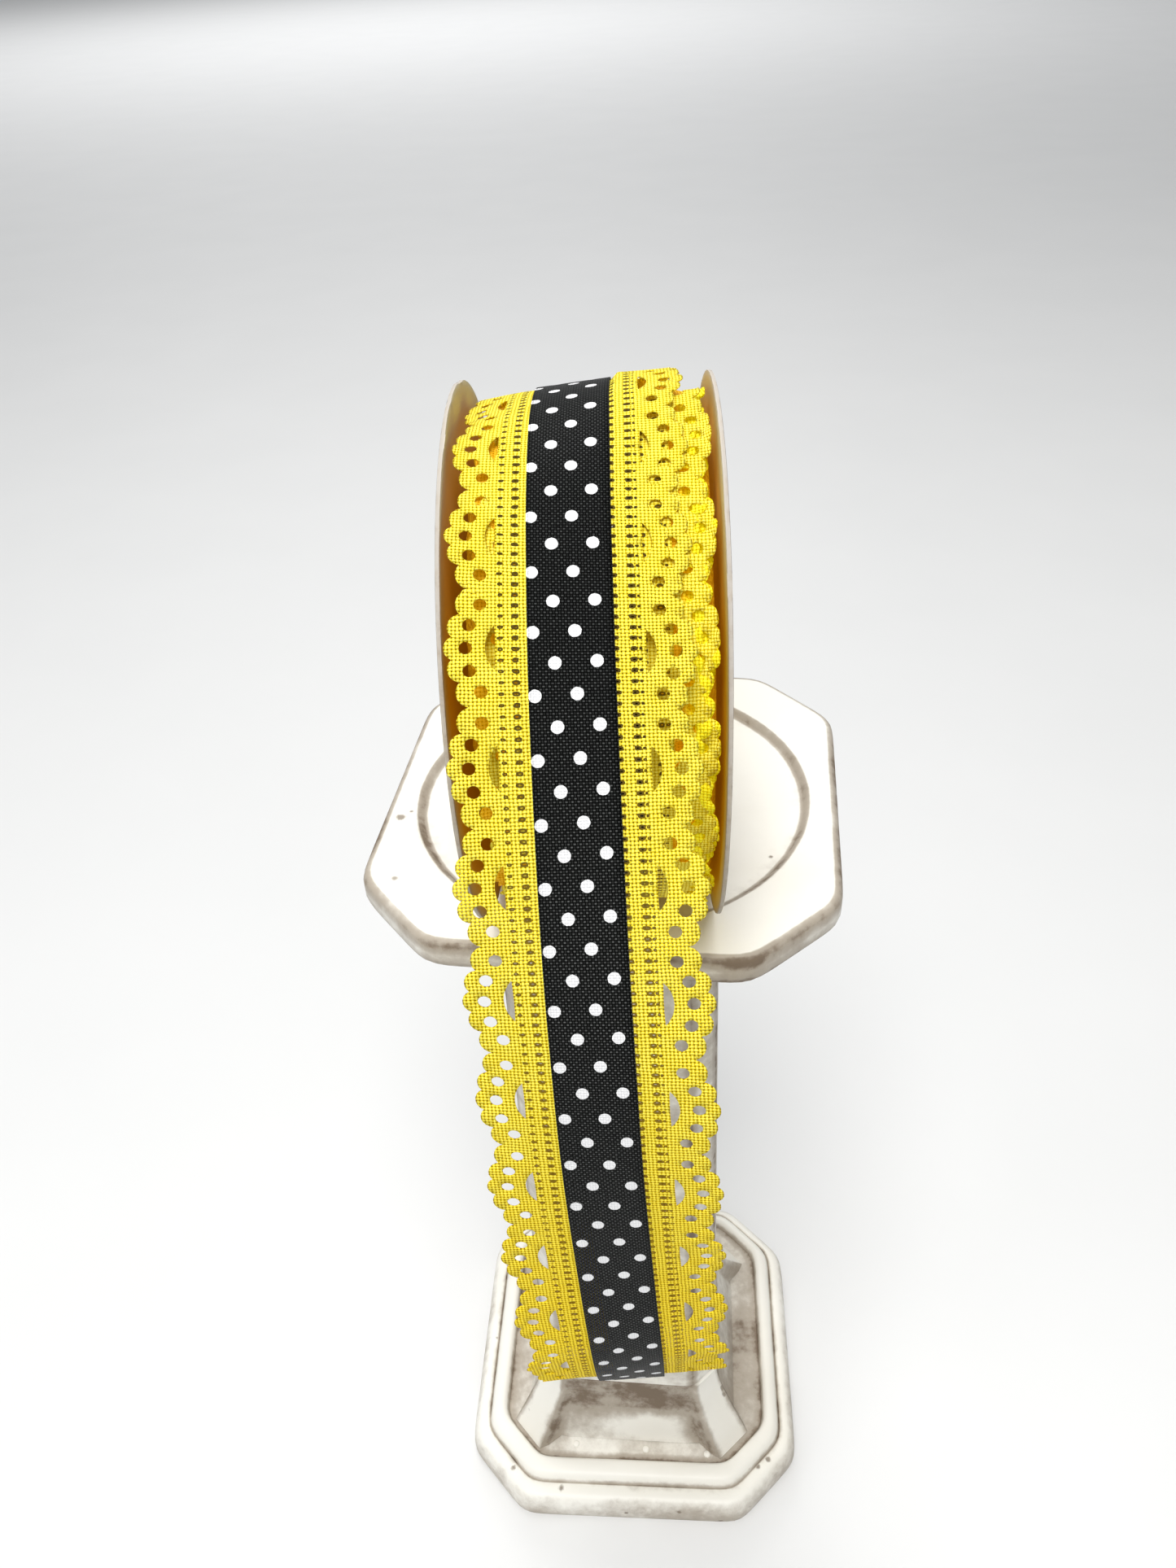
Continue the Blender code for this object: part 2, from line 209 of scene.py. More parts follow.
# Length from the top, heading below level, twist with the right edge outward, place along
# the spool's axis. Millimetres and degrees.
TAIL_COURSE = (
    (0.0, 0.5, 6.0, -2.0), (9.3, 15.5, 2.0, -2.0), (18.7, 26.1, -2.0, -2.0),
    (28.0, 32.3, -4.5, -2.0), (37.3, 35.6, -5.8, -1.9), (56.0, 49.2, -6.0, -1.7),
    (74.6, 56.0, -3.4, -1.4), (93.3, 60.7, 0.3, -1.0), (111.9, 71.1, 3.2, -0.4),
    (130.6, 81.0, 3.0, 0.2), (149.2, 86.6, -0.2, 1.0), (167.9, 86.2, -4.2, 1.9),
    (177.2, 89.8, -5.7, 2.4), (186.6, 99.0, -6.3, 2.8), (195.9, 108.0, -5.7, 3.0),
    (205.2, 113.0, -3.7, 3.1), (214.6, 140.0, -2.0, 3.1),
)

# The roll's round: angle from the top towards the front, radius of the ribbon that lies
# there, and its slope with the right side higher. Degrees and millimetres.
ROLL_ROUND = (
    (0.0, 47.7, 6.0), (11.0, 47.3, 2.0), (22.0, 46.9, -1.5), (34.0, 46.6, -4.5),
    (45.0, 46.5, -5.0), (60.0, 46.5, -4.5), (90.0, 46.6, -3.0), (140.0, 46.8, 0.0),
    (200.0, 47.0, 1.5), (260.0, 47.3, 3.0), (320.0, 47.6, 4.5), (350.0, 47.7, 5.8),
    (360.0, 47.7, 6.0),
)

# How the turns wander along the axis: turns wound back from the top, and place. Millimetres.
TURN_WANDER = (
    (0.0, -2.0), (0.3, -1.2), (0.8, 2.2), (1.1, 2.3), (1.7, 0.9), (2.1, 1.3),
    (2.8, 2.5), (3.1, 2.4), (3.8, 1.2), (4.2, 1.5), (5.2, 2.0),
)


def read_course(table, column, at):
    """Read one column of a table as a smooth curve through its rows."""
    last = len(table) - 2
    row = 0
    while row < last and table[row + 1][0] < at:
        row += 1
    before = table[max(row - 1, 0)]
    start = table[row]
    end = table[row + 1]
    after = table[min(row + 2, len(table) - 1)]
    span = end[0] - start[0]
    slope_in = (end[column] - before[column]) / (end[0] - before[0])
    slope_out = (after[column] - start[column]) / (after[0] - start[0])
    t = min(max((at - start[0]) / span, 0.0), 1.0)
    value = (2 * t**3 - 3 * t**2 + 1) * start[column]
    value += (t**3 - 2 * t**2 + t) * span * slope_in
    value += (3 * t**2 - 2 * t**3) * end[column]
    value += (t**3 - t**2) * span * slope_out
    return value


def course_frame(centre, heading, twist):
    """Centre, across and outward directions of the ribbon, in the spool's own axes."""
    level_out = Vector((0.0, -sin(heading), cos(heading)))
    level_across = Vector((1.0, 0.0, 0.0))
    across = level_across * cos(twist) + level_out * sin(twist)
    outward = level_out * cos(twist) - level_across * sin(twist)
    return centre, across, outward


def wound_radius(back):
    """Radius of the ribbon at an angle wound back from the top."""
    degrees = back * 180.0 / pi
    radius = read_course(ROLL_ROUND, 1, (-degrees) % 360.0)
    return radius - TURN_STEP * degrees / 360.0 + TOP_LIFT * exp(-degrees / 40.0)


loose_frames = []
centre = Vector((0.0, 0.0, TAIL_START_HEIGHT))
for step in range(int(TAIL_LENGTH / COURSE_STEP) + 3):
    length = step * COURSE_STEP
    heading = radians(read_course(TAIL_COURSE, 1, length))
    centre.x = read_course(TAIL_COURSE, 3, length)
    twist = radians(read_course(TAIL_COURSE, 2, length))
    loose_frames.append(course_frame(centre.copy(), heading, twist))
    centre = centre + Vector((0.0, -cos(heading), -sin(heading))) * COURSE_STEP

wound_frames = []
wound_angles = []
back = 0.0
while back < 2 * pi * TURNS + 0.2:
    radius = wound_radius(back)
    slope = radians(read_course(ROLL_ROUND, 2, (-back * 180.0 / pi) % 360.0))
    wander = read_course(TURN_WANDER, 1, back / (2 * pi))
    centre = Vector((wander, radius * sin(back), radius * cos(back)))
    wound_frames.append(course_frame(centre, -back, slope))
    wound_angles.append(back)
    back += COURSE_STEP / radius

left_low, left_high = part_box("flange_left")
right_low, right_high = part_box("flange_right")
spool_centre = (left_low + left_high + right_low + right_high) / 4
spool_centre.z = right_high.z - FLANGE_RADIUS * MM
spool_matrix = Matrix.Translation(spool_centre) @ Matrix.Rotation(SPOOL_TURN, 4, "Z")


def turn_end(turn):
    """Length back from the top at which a turn ends, in millimetres."""
    for step, back in enumerate(wound_angles):
        if back >= 2 * pi * turn:
            return step * COURSE_STEP
    return (len(wound_angles) - 1) * COURSE_STEP


def frame_at(length):
    """Centre, across and outward at a length, which is below zero on the roll."""
    frames = loose_frames if length >= 0 else wound_frames
    place = abs(length) / COURSE_STEP
    index = min(int(place), len(frames) - 2)
    share = place - index
    here = frames[index]
    there = frames[index + 1]
    return [first.lerp(second, share) for first, second in zip(here, there)]


def bell(value, middle, width):
    """A smooth hump of height 1."""
    return exp(-(((value - middle) / width) ** 2))


def on_course(across, length, outward):
    """Where a point of the flat ribbon goes, in metres; a lace edge turns up at a flange."""
    centre, across_way, outward_way = frame_at(length)
    point = centre + across_way * across + outward_way.normalized() * outward
    if length < CLEAR_OF_FLANGES:
        radial = Vector((0.0, point.y, point.z)).normalized()
        excess = abs(point.x) - WALL_HALF_GAP
        soft = excess + sqrt(excess * excess + WALL_SOFTNESS)
        if soft > 0.02:
            point.x -= (soft / 2) * (1.0 if point.x > 0 else -1.0)
            point += radial * soft * TURN_UP_SHARE
        behind_top = atan2(point.y, point.z)
        left = min(max((-across - 8.0) / 10.0, 0.0), 1.1)
        point -= radial * LEFT_DROOP * left**1.5 * bell(behind_top, 0.2, 0.5)
        right = min(max((across - BAND_HALF) / 1.2, 0.0), 1.0)
        right *= max(0.0, 1.0 - (across - 7.0) / 12.0)
        point += radial * RIGHT_RISE * right * bell(behind_top, 0.32, 0.28)
    return spool_matrix @ (point * MM)


# Lace edgings
# Bright yellow open plain-woven cloth, cut by heat into scallops of five petals, with five
# eyelets and a half-moon in each. Threads are drawn out in two columns next to the band.

CLOTH_THICKNESS = 0.24
LAP = 3.5
SCALLOP = 17.5
LEFT_PHASE = 13.4
RIGHT_PHASE = 14.1
PETAL_BULGE = 1.15
PETAL_STEPS = 7
EYELET_RADIUS = 0.95
EYELET_SIDES = 16
HALF_MOON = (6.7, 4.5, 5.85)
WEAVE_PITCH = 0.56
# Where petals meet, and eyelets: along from the scallop's middle, out from the band's edge.
NOTCHES = ((-8.75, 8.2), (-5.05, 9.35), (-1.7, 10.5), (1.7, 10.5), (5.05, 9.35), (8.75, 8.2))
EYELETS = ((-6.5, 6.5), (-3.4, 8.05), (0.0, 8.56), (3.4, 8.05), (6.5, 6.5))
FOLD_LINES_OUT = (-2.0, 0.0, 1.4, 2.8, 4.4, 6.3, 7.6)
FOLD_STEP = 2.5
TUCK_UNDER_BAND = 0.04
# How far the covered right-hand turns have sunk at the top of the roll.
RIGHT_SINK = 2.7
# Yarn colours mixed by the weave's height: the deep one is also painted shade in the gaps between
# threads, the bright one also a painted highlight on their crowns. The pinhole colour is painted
# shade.
LACE_BRIGHT_AND_CROWN_HIGHLIGHT = (1.0, 1.0, 0.18, 1)
LACE_DEEP_AND_WEAVE_SHADE = (0.80, 0.61, 0.004, 1)
LACE_PINHOLE_SHADE = (0.19, 0.12, 0.001, 1)
# For the covered turns: painted shade where they lie covered, and a painted, more saturated yellow
# on their open edges, for light bounced between the layers.
LACE_SHADED = (0.86, 0.55, 0.25, 1)
LACE_EDGE_PAINTED_BOUNCE = (1.0, 1.0, 0.38, 1)
# Painted shade that deepens the yellow towards the loose end.
LACE_END_PAINTED_SHADE = (1.0, 0.88, 0.40, 1)
# Painted glow: emission standing for light passed through the layers of yellow cloth.
LACE_PAINTED_GLOW = (1.0, 0.52, 0.0, 1)
LACE_EDGE_PAINTED_GLOW = (1.0, 0.86, 0.0, 1)
# Painted shade in the openings of the drawn threads, for what shows through them, on the
# roll and on the loose end.
OPENING_SHADE_ON_ROLL = (0.05, 0.04, 0.008, 1)
OPENING_SHADE_ON_LOOSE_END = (0.20, 0.14, 0.012, 1)
# Out from the band's edge, width and height of the openings of each drawn column.
LEFT_COLUMNS = ((1.6, 1.05, 0.72), (3.7, 0.8, 0.5))
RIGHT_COLUMNS = ((0.2, 0.9, 0.7), (2.65, 1.05, 0.72), (3.6, 0.5, 0.46))


def arc(start, end, bulge, steps):
    """Points of an arc that stands out from its chord by the bulge, without the last one."""
    chord = (end - start).length
    radius = (chord * chord / 4 + bulge * bulge) / (2 * bulge)
    half_angle = asin(min(chord / (2 * radius), 1.0))
    forward = (end - start).normalized()
    out = Vector((forward.y, -forward.x))
    centre = (start + end) / 2 + out * (bulge - radius)
    points = []
    for step in range(steps):
        angle = -half_angle + 2 * half_angle * step / steps
        points.append(centre + out * radius * cos(angle) + forward * radius * sin(angle))
    return points


def add_loop(bm, points):
    """A closed loop of edges through flat points."""
    ring = [bm.verts.new((point.x, point.y, 0.0)) for point in points]
    for index, vert in enumerate(ring):
        bm.edges.new((vert, ring[(index + 1) % len(ring)]))


def slice_flat(bm, place, normal, **cut_off):
    """A fold line across the flat cloth, or its cut end."""
    everything = bm.verts[:] + bm.edges[:] + bm.faces[:]
    bmesh.ops.bisect_plane(
        bm, geom=everything, dist=1e-4, plane_co=place, plane_no=normal, **cut_off
    )


def lace_repeat():
    """One scallop laid flat: x out from the band's edge, y along, in millimetres."""
    bm = bmesh.new()
    notches = [Vector((out, along)) for along, out in NOTCHES]
    outline = [Vector((-LAP, -SCALLOP / 2))]
    for start, end in zip(notches, notches[1:]):
        outline += arc(start, end, PETAL_BULGE, PETAL_STEPS)
    outline += [notches[-1], Vector((-LAP, SCALLOP / 2))]
    add_loop(bm, outline)
    length, near, far = HALF_MOON
    start = Vector((near, -length / 2))
    end = Vector((near, length / 2))
    add_loop(bm, arc(start, end, far - near, 10) + arc(end, start, 0.10, 6))
    for along, out in EYELETS:
        place = Matrix.Translation((out, along, 0.0))
        bmesh.ops.create_circle(bm, segments=EYELET_SIDES, radius=EYELET_RADIUS, matrix=place)
    bmesh.ops.triangle_fill(bm, edges=bm.edges[:], use_beauty=True)
    for fold in range(-3, 4):
        slice_flat(bm, (0.0, fold * FOLD_STEP, 0.0), (0, 1, 0))
    for out in FOLD_LINES_OUT:
        slice_flat(bm, (out, 0.0, 0.0), (1, 0, 0))
    mesh = bpy.data.meshes.new("lace_repeat")
    bm.to_mesh(mesh)
    bm.free()
    return mesh


lace_tile = lace_repeat()


def flat_lace(start, end, phase):
    """The flat edging between two lengths, from whole scallops cut off square at its ends."""
    bm = bmesh.new()
    first = int((start - phase) // SCALLOP) - 1
    last = int((end - phase) // SCALLOP) + 2
    for number in range(first, last + 1):
        middle = phase + number * SCALLOP
        if middle + SCALLOP / 2 < start or middle - SCALLOP / 2 > end:
            continue
        known = len(bm.verts)
        bm.from_mesh(lace_tile)
        bm.verts.ensure_lookup_table()
        bmesh.ops.translate(bm, vec=(0.0, middle, 0.0), verts=bm.verts[known:])
    bmesh.ops.remove_doubles(bm, verts=bm.verts[:], dist=0.01)
    slice_flat(bm, (0.0, start, 0.0), (0, -1, 0), clear_outer=True)
    slice_flat(bm, (0.0, end, 0.0), (0, 1, 0), clear_outer=True)
    return bm


def lay_flat_map(bm):
    """Keep the flat place of each point, in millimetres, as the cloth's own map."""
    layer = bm.loops.layers.uv.new("laid_flat")
    for face in bm.faces:
        for loop in face.loops:
            loop[layer].uv = (loop.vert.co.x, loop.vert.co.y)


def flat_area(bm):
    """Area of the cut cloth while it is flat, in square metres."""
    return sum(face.calc_area() for face in bm.faces) * MM * MM


def cloth_piece(bm, name, finish):
    """A bent cloth piece with its thickness, its outer face on the course."""
    bmesh.ops.triangulate(bm, faces=bm.faces[:])
    piece = new_piece(bm, name, finish)
    thick = piece.modifiers.new("Thickness", "SOLIDIFY")
    thick.thickness = CLOTH_THICKNESS * MM
    thick.offset = -1.0
    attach(piece, "root")
    return piece


def uneven(*place):
    """Smooth noise, about -1 to 1, at three numbers."""
    return noise.noise(Vector(place))


def ripple(across, length, seed):
    """A slow unevenness of the cloth, growing towards its free edge, only upwards on the roll."""
    share = max(0.0, (abs(across) - 4.0) / 14.0)
    slow = uneven(length / 26.0, seed * 7.3, 0.0)
    quick = uneven(length / 9.0, seed * 3.1, 5.0)
    lift = share * share * (1.5 * slow + 0.7 * quick)
    ending = min(max((length - 175.0) / 38.0, 0.0), 1.0)
    lift += ending * share * (1.1 * sin(length / 3.4 + seed) - 1.0)
    return lift if length > 40.0 else abs(lift)


def spread(length):
    """How far the soft lace has stretched out sideways: more along the loose end."""
    share = min(max((length - 45.0) / 40.0, 0.0), 1.0)
    return 0.045 + 0.022 * share


def near_roll_top(length):
    """Share from 0 to 1 by which a length of the ribbon lies just behind the roll's top."""
    centre = frame_at(length)[0]
    return bell(atan2(centre.y, centre.z), 0.3, 0.4)


def crumple(across, length, seed):
    """The pushed-up, rumpled free edges of the covered turns, smooth on the right at the top."""
    share = max(0.0, (abs(across) - 13.5) / 4.5)
    if across > 0:
        share *= 1.0 - near_roll_top(length)
    wave = uneven(length / 5.0, seed * 5.7, 2.0)
    pucker = uneven(length / 2.2, seed * 2.9, 7.0)
    return share * (0.8 + 2.3 * wave + 0.8 * pucker)


def make_lace(name, side, start, end, finish, seed, covered, sink=0.0):
    """An edging cut flat between two lengths, then bent onto the ribbon's course."""
    phase = LEFT_PHASE if side < 0 else RIGHT_PHASE
    bm = flat_lace(start, end, phase)
    area = flat_area(bm)
    lay_flat_map(bm)
    for vert in bm.verts:
        length = vert.co.y
        across = side * (BAND_HALF + vert.co.x * (1.0 + spread(length)))
        lift = -CLOTH_THICKNESS - TUCK_UNDER_BAND
        unevenness = crumple if covered else ripple
        lift += unevenness(across, length, seed + side)
        sunk = min(max((abs(across) - 6.0) / 8.0, 0.0), 1.0)
        lift -= sink * sunk * near_roll_top(length)
        vert.co = on_course(across, length, lift)
    if side > 0:
        bmesh.ops.reverse_faces(bm, faces=bm.faces[:])
    piece = cloth_piece(bm, name, finish)
    return piece


def maths(tree, operation, *values, clamp=False):
    """One sum on sockets or numbers."""
    node = tree.nodes.new("ShaderNodeMath")
    node.operation = operation
    node.use_clamp = clamp
    for socket, value in zip(node.inputs, values):
        feed(tree, socket, value)
    return node.outputs[0]


def fade(tree, value, low, high, out_low=0.0, out_high=1.0):
    """A smooth step of a value between two limits."""
    node = tree.nodes.new("ShaderNodeMapRange")
    node.interpolation_type = "SMOOTHSTEP"
    feed(tree, node.inputs["Value"], value)
    limits = {"From Min": low, "From Max": high, "To Min": out_low, "To Max": out_high}
    for name, limit in limits.items():
        feed(tree, node.inputs[name], limit)
    return node.outputs["Result"]


def new_group(name, inputs, outputs):
    """A shader node group with named float or vector sockets."""
    tree = bpy.data.node_groups.new(name, "ShaderNodeTree")
    for title, kind, value in inputs:
        socket = tree.interface.new_socket(title, in_out="INPUT", socket_type="NodeSocket" + kind)
        if value is not None:
            socket.default_value = value
    for title in outputs:
        tree.interface.new_socket(title, in_out="OUTPUT", socket_type="NodeSocketFloat")
    return tree, tree.nodes.new("NodeGroupInput").outputs, tree.nodes.new("NodeGroupOutput").inputs


def use_group(tree, group, **values):
    """The outputs of a group placed in a tree, with its own input values."""
    node = tree.nodes.new("ShaderNodeGroup")
    node.node_tree = group
    for name, value in values.items():
        feed(tree, node.inputs[name.replace("_", " ")], value)
    return node.outputs


def emboss(tree, shader, height, distance, strength):
    """Let a height show in the shading, with its depth in metres."""
    bump = add_node(tree, "Bump", Height=height, Distance=distance, Strength=strength)
    feed(tree, shader.inputs["Normal"], bump.outputs[0])


# Plain weave: threads of one set over and under the other, with pinholes between them.
tree, given, result = new_group(
    "plain_weave",
    (("Flat", "Vector", None), ("Pitch", "Float", 0.5), ("Pinhole", "Float", 0.2)),
    ("Height", "Hole", "Warp"),
)
plain_weave = tree
grid = add_node(tree, "VectorMath", {"operation": "DIVIDE"})
feed(tree, grid.inputs[0], given["Flat"])
pitches = add_node(tree, "CombineXYZ", X=given["Pitch"], Y=given["Pitch"], Z=1.0)
feed(tree, grid.inputs[1], pitches.outputs[0])
parts = add_node(tree, "SeparateXYZ", Vector=grid.outputs[0])
cells = [maths(tree, "FLOOR", parts.outputs[axis]) for axis in ("X", "Y")]
inside = [maths(tree, "FRACT", parts.outputs[axis]) for axis in ("X", "Y")]
inside = [maths(tree, "SUBTRACT", way, 0.5) for way in inside]
checker = maths(tree, "ADD", cells[0], cells[1])
checker = maths(tree, "FLOORED_MODULO", checker, 2.0)
turned = [maths(tree, "MULTIPLY", way, pi) for way in inside]
round_off = [maths(tree, "COSINE", way) for way in turned]
over = []
for thread, other in ((0, 1), (1, 0)):
    crown = maths(tree, "MULTIPLY_ADD", round_off[other], 0.45, 0.55)
    over.append(maths(tree, "MULTIPLY", round_off[thread], crown))
warp = maths(tree, "MULTIPLY", over[0], maths(tree, "SUBTRACT", 1.0, checker))
weft = maths(tree, "MULTIPLY", over[1], checker)
height = maths(tree, "ADD", warp, weft)
feed(tree, result["Height"], height)
feed(tree, result["Warp"], checker)
corner = [maths(tree, "SUBTRACT", 0.5, maths(tree, "ABSOLUTE", way)) for way in inside]
reach = maths(tree, "MAXIMUM", corner[0], corner[1])
feed(tree, result["Hole"], maths(tree, "LESS_THAN", reach, given["Pinhole"]))

# Drawn threads: one column of small oblong openings along the ribbon.
tree, given, result = new_group(
    "drawn_column",
    (
        ("Flat", "Vector", None),
        ("Out", "Float", 1.6),
        ("Width", "Float", 0.95),
        ("Tall", "Float", 0.55),
        ("Pitch", "Float", 1.65),
    ),
    ("Opening",),
)
drawn_column = tree
parts = add_node(tree, "SeparateXYZ", Vector=given["Flat"])
wobble = speckle(tree, given["Flat"], 0.9, 1.0)
wobble = maths(tree, "MULTIPLY_ADD", wobble, 0.6, -0.3)
size = speckle(tree, given["Flat"], 0.55, 2.0)
size = maths(tree, "MULTIPLY_ADD", size, 0.9, 0.55)
aside = maths(tree, "SUBTRACT", parts.outputs["X"], given["Out"])
aside = maths(tree, "ABSOLUTE", maths(tree, "ADD", aside, wobble))
aside = maths(tree, "DIVIDE", aside, given["Width"])
along = maths(tree, "DIVIDE", parts.outputs["Y"], given["Pitch"])
along = maths(tree, "SUBTRACT", maths(tree, "FRACT", along), 0.5)
along = maths(tree, "ABSOLUTE", along)
along = maths(tree, "MULTIPLY", along, given["Pitch"])
tall = maths(tree, "MULTIPLY", given["Tall"], size)
along = maths(tree, "DIVIDE", along, tall)
rounded = [maths(tree, "POWER", way, 3.0) for way in (aside, along)]
opening = maths(tree, "ADD", rounded[0], rounded[1])
feed(tree, result["Opening"], maths(tree, "LESS_THAN", opening, 0.125))


def lace_cloth(name, columns, painted_glow_strength, covered_to=None):
    """The yellow cloth of one edging with its own drawn-thread columns, painted shade and glow."""
    made, tree, shader = new_material(name, 0.78, specular=0.12)
    # A painted glow, for light passed through the cloth.
    shader.inputs["Emission Color"].default_value = LACE_PAINTED_GLOW
    shader.inputs["Emission Strength"].default_value = painted_glow_strength
    flat = add_node(tree, "UVMap", {"uv_map": "laid_flat"}).outputs[0]
    drift = add_node(tree, "TexNoise", Vector=flat, Scale=0.35, Detail=2.0)
    drift_way = add_node(tree, "VectorMath", {"operation": "MULTIPLY_ADD"})
    feed(tree, drift_way.inputs[0], drift.outputs["Color"])
    feed(tree, drift_way.inputs[1], (0.34, 0.34, 0.0))
    feed(tree, drift_way.inputs[2], flat)
    woven = drift_way.outputs[0]
    parts = add_node(tree, "SeparateXYZ", Vector=flat)
    along = parts.outputs["Y"]
    opened = fade(tree, along, 0.0, 60.0, 0.145, 0.205)
    weave = use_group(tree, plain_weave, Flat=woven, Pitch=WEAVE_PITCH, Pinhole=opened)
    hole = use_group(tree, plain_weave, Flat=woven, Pitch=WEAVE_PITCH, Pinhole=0.09)["Hole"]
    framed = None
    for out, width, tall in columns:
        column = use_group(tree, drawn_column, Flat=flat, Out=out, Width=width, Tall=tall)
        core = use_group(
            tree, drawn_column, Flat=flat, Out=out, Width=width * 0.4, Tall=tall * 0.36
        )
        opening = column["Opening"]
        hole = maths(tree, "MULTIPLY", hole, maths(tree, "SUBTRACT", 1.0, opening))
        hole = maths(tree, "MAXIMUM", hole, core["Opening"])
        framed = opening if framed is None else maths(tree, "MAXIMUM", framed, opening)
    patch = speckle(tree, flat, 0.22, 3.0)
    slub_flat = add_node(tree, "Mapping", Vector=flat)
    slub_flat.inputs["Scale"].default_value = (2.2, 0.35, 1.0)
    slub = speckle(tree, slub_flat.outputs[0], 1.4, 2.0)
    # Weave height paints shade into the gaps and a highlight onto the crowns; patches and slubs
    # are the yarn's own uneven tone.
    tone = maths(tree, "MULTIPLY_ADD", weave["Height"], 1.45, -0.55)
    tone = maths(tree, "ADD", tone, maths(tree, "MULTIPLY_ADD", patch, 0.5, -0.25))
    slubbed = maths(tree, "MULTIPLY_ADD", slub, 0.5, -0.25)
    tone = maths(tree, "ADD", tone, slubbed, clamp=True)
    cloth = mix(tree, tone, LACE_DEEP_AND_WEAVE_SHADE, LACE_BRIGHT_AND_CROWN_HIGHLIGHT)
    # Pinholes are painted dark, as shade seen through them.
    cloth = mix(tree, weave["Hole"], cloth, LACE_PINHOLE_SHADE)
    # The openings round their open cores are painted with that shade.
    on_loose_end = fade(tree, along, 50.0, 120.0)
    painted_opening_shade = mix(tree, on_loose_end, OPENING_SHADE_ON_ROLL, OPENING_SHADE_ON_LOOSE_END)
    cloth = mix(tree, framed, cloth, painted_opening_shade)
    # The covered turns are a shaded copy of the cloth: painted shade where covered, painted bounce
    # light on the open edge.
    if covered_to is not None:
        shaded = mix(tree, 1.0, cloth, LACE_SHADED, blend="MULTIPLY")
        open_edge = fade(tree, parts.outputs["X"], covered_to, covered_to + 2.0)
        edge = mix(tree, 1.0, cloth, LACE_EDGE_PAINTED_BOUNCE, blend="MULTIPLY")
        cloth = mix(tree, open_edge, shaded, edge)
        painted_glow = mix(tree, open_edge, LACE_PAINTED_GLOW, LACE_EDGE_PAINTED_GLOW)
        feed(tree, shader.inputs["Emission Color"], painted_glow)
    # Painted shade deepens the yellow along the loose end.
    towards_end = fade(tree, along, 90.0, 190.0)
    end_in_painted_shade = mix(tree, 1.0, cloth, LACE_END_PAINTED_SHADE, blend="MULTIPLY")
    feed(tree, shader.inputs["Base Color"], mix(tree, towards_end, cloth, end_in_painted_shade))
    feed(tree, shader.inputs["Alpha"], maths(tree, "SUBTRACT", 1.0, hole))
    emboss(tree, shader, weave["Height"], 0.00016, 0.75)
    return made


left_lace = lace_cloth("lace_left_cloth", LEFT_COLUMNS, 0.06)
right_lace = lace_cloth("lace_right_cloth", RIGHT_COLUMNS, 0.06)
# Shaded copies of the cloth for the covered turns, with a stronger painted glow.
left_lace_shaded = lace_cloth("shaded_covered_lace_left", LEFT_COLUMNS, 0.2, covered_to=11.0)
right_lace_shaded = lace_cloth("shaded_covered_lace_right", RIGHT_COLUMNS, 0.2, covered_to=6.6)

turn_ends = [turn_end(turn) for turn in range(TURNS + 1)]
outer_lace_left = make_lace("lace_left", -1, -turn_ends[1], TAIL_LENGTH, left_lace, 1, False)
outer_lace_right = make_lace("lace_right", 1, -turn_ends[1], TAIL_LENGTH, right_lace, 2, False)
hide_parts("lace_left_tail")
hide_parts("lace_right_tail")
for number in range(1, TURNS):
    start = -turn_ends[number + 1]
    end = -turn_ends[number]
    seed = 10 * number
    sink = RIGHT_SINK - TURN_STEP * (number - 1)
    name = f"turn_{number}_lace"
    make_lace(name + "_left", -1, start, end, left_lace_shaded, seed, True)
    make_lace(name + "_right", 1, start, end, right_lace_shaded, seed + 5, True, sink)

# Dotted band
# A black plain-woven ribbon, printed with two staggered columns of round white dots and sewn
# over the inner edges of both edgings.

# Pitches and radius of the dots, their columns' drift, place and lean on the band, and where
# the print stops before the right selvedge.
DOT_ACROSS = 6.155
DOT_ALONG = 4.664
DOT_RADIUS = 0.98
DOT_DRIFT = 0.0073
DOT_FIRST = -5.89
DOT_LEAN = 0.05
DOT_START = -0.25
LAST_DOT_OUT = 5.0
BAND_PITCH = 0.44
BAND_FOLD_OUT = 1.6
LIT_THROUGH_FROM = 125.0
# Black between the threads, and the threads' crowns: black with a painted glint, brighter on the
# loose end.
BETWEEN_THREADS = (0.0015, 0.0018, 0.0016, 1)
ROLL_THREAD_BLACK_AND_GLINT = (0.068, 0.072, 0.070, 1)
LOOSE_END_THREAD_BLACK_AND_GLINT = (0.125, 0.13, 0.127, 1)
DOT_HOLLOW = (0.62, 0.63, 0.66, 1)
DOT_WHITE = (0.93, 0.93, 0.94, 1)

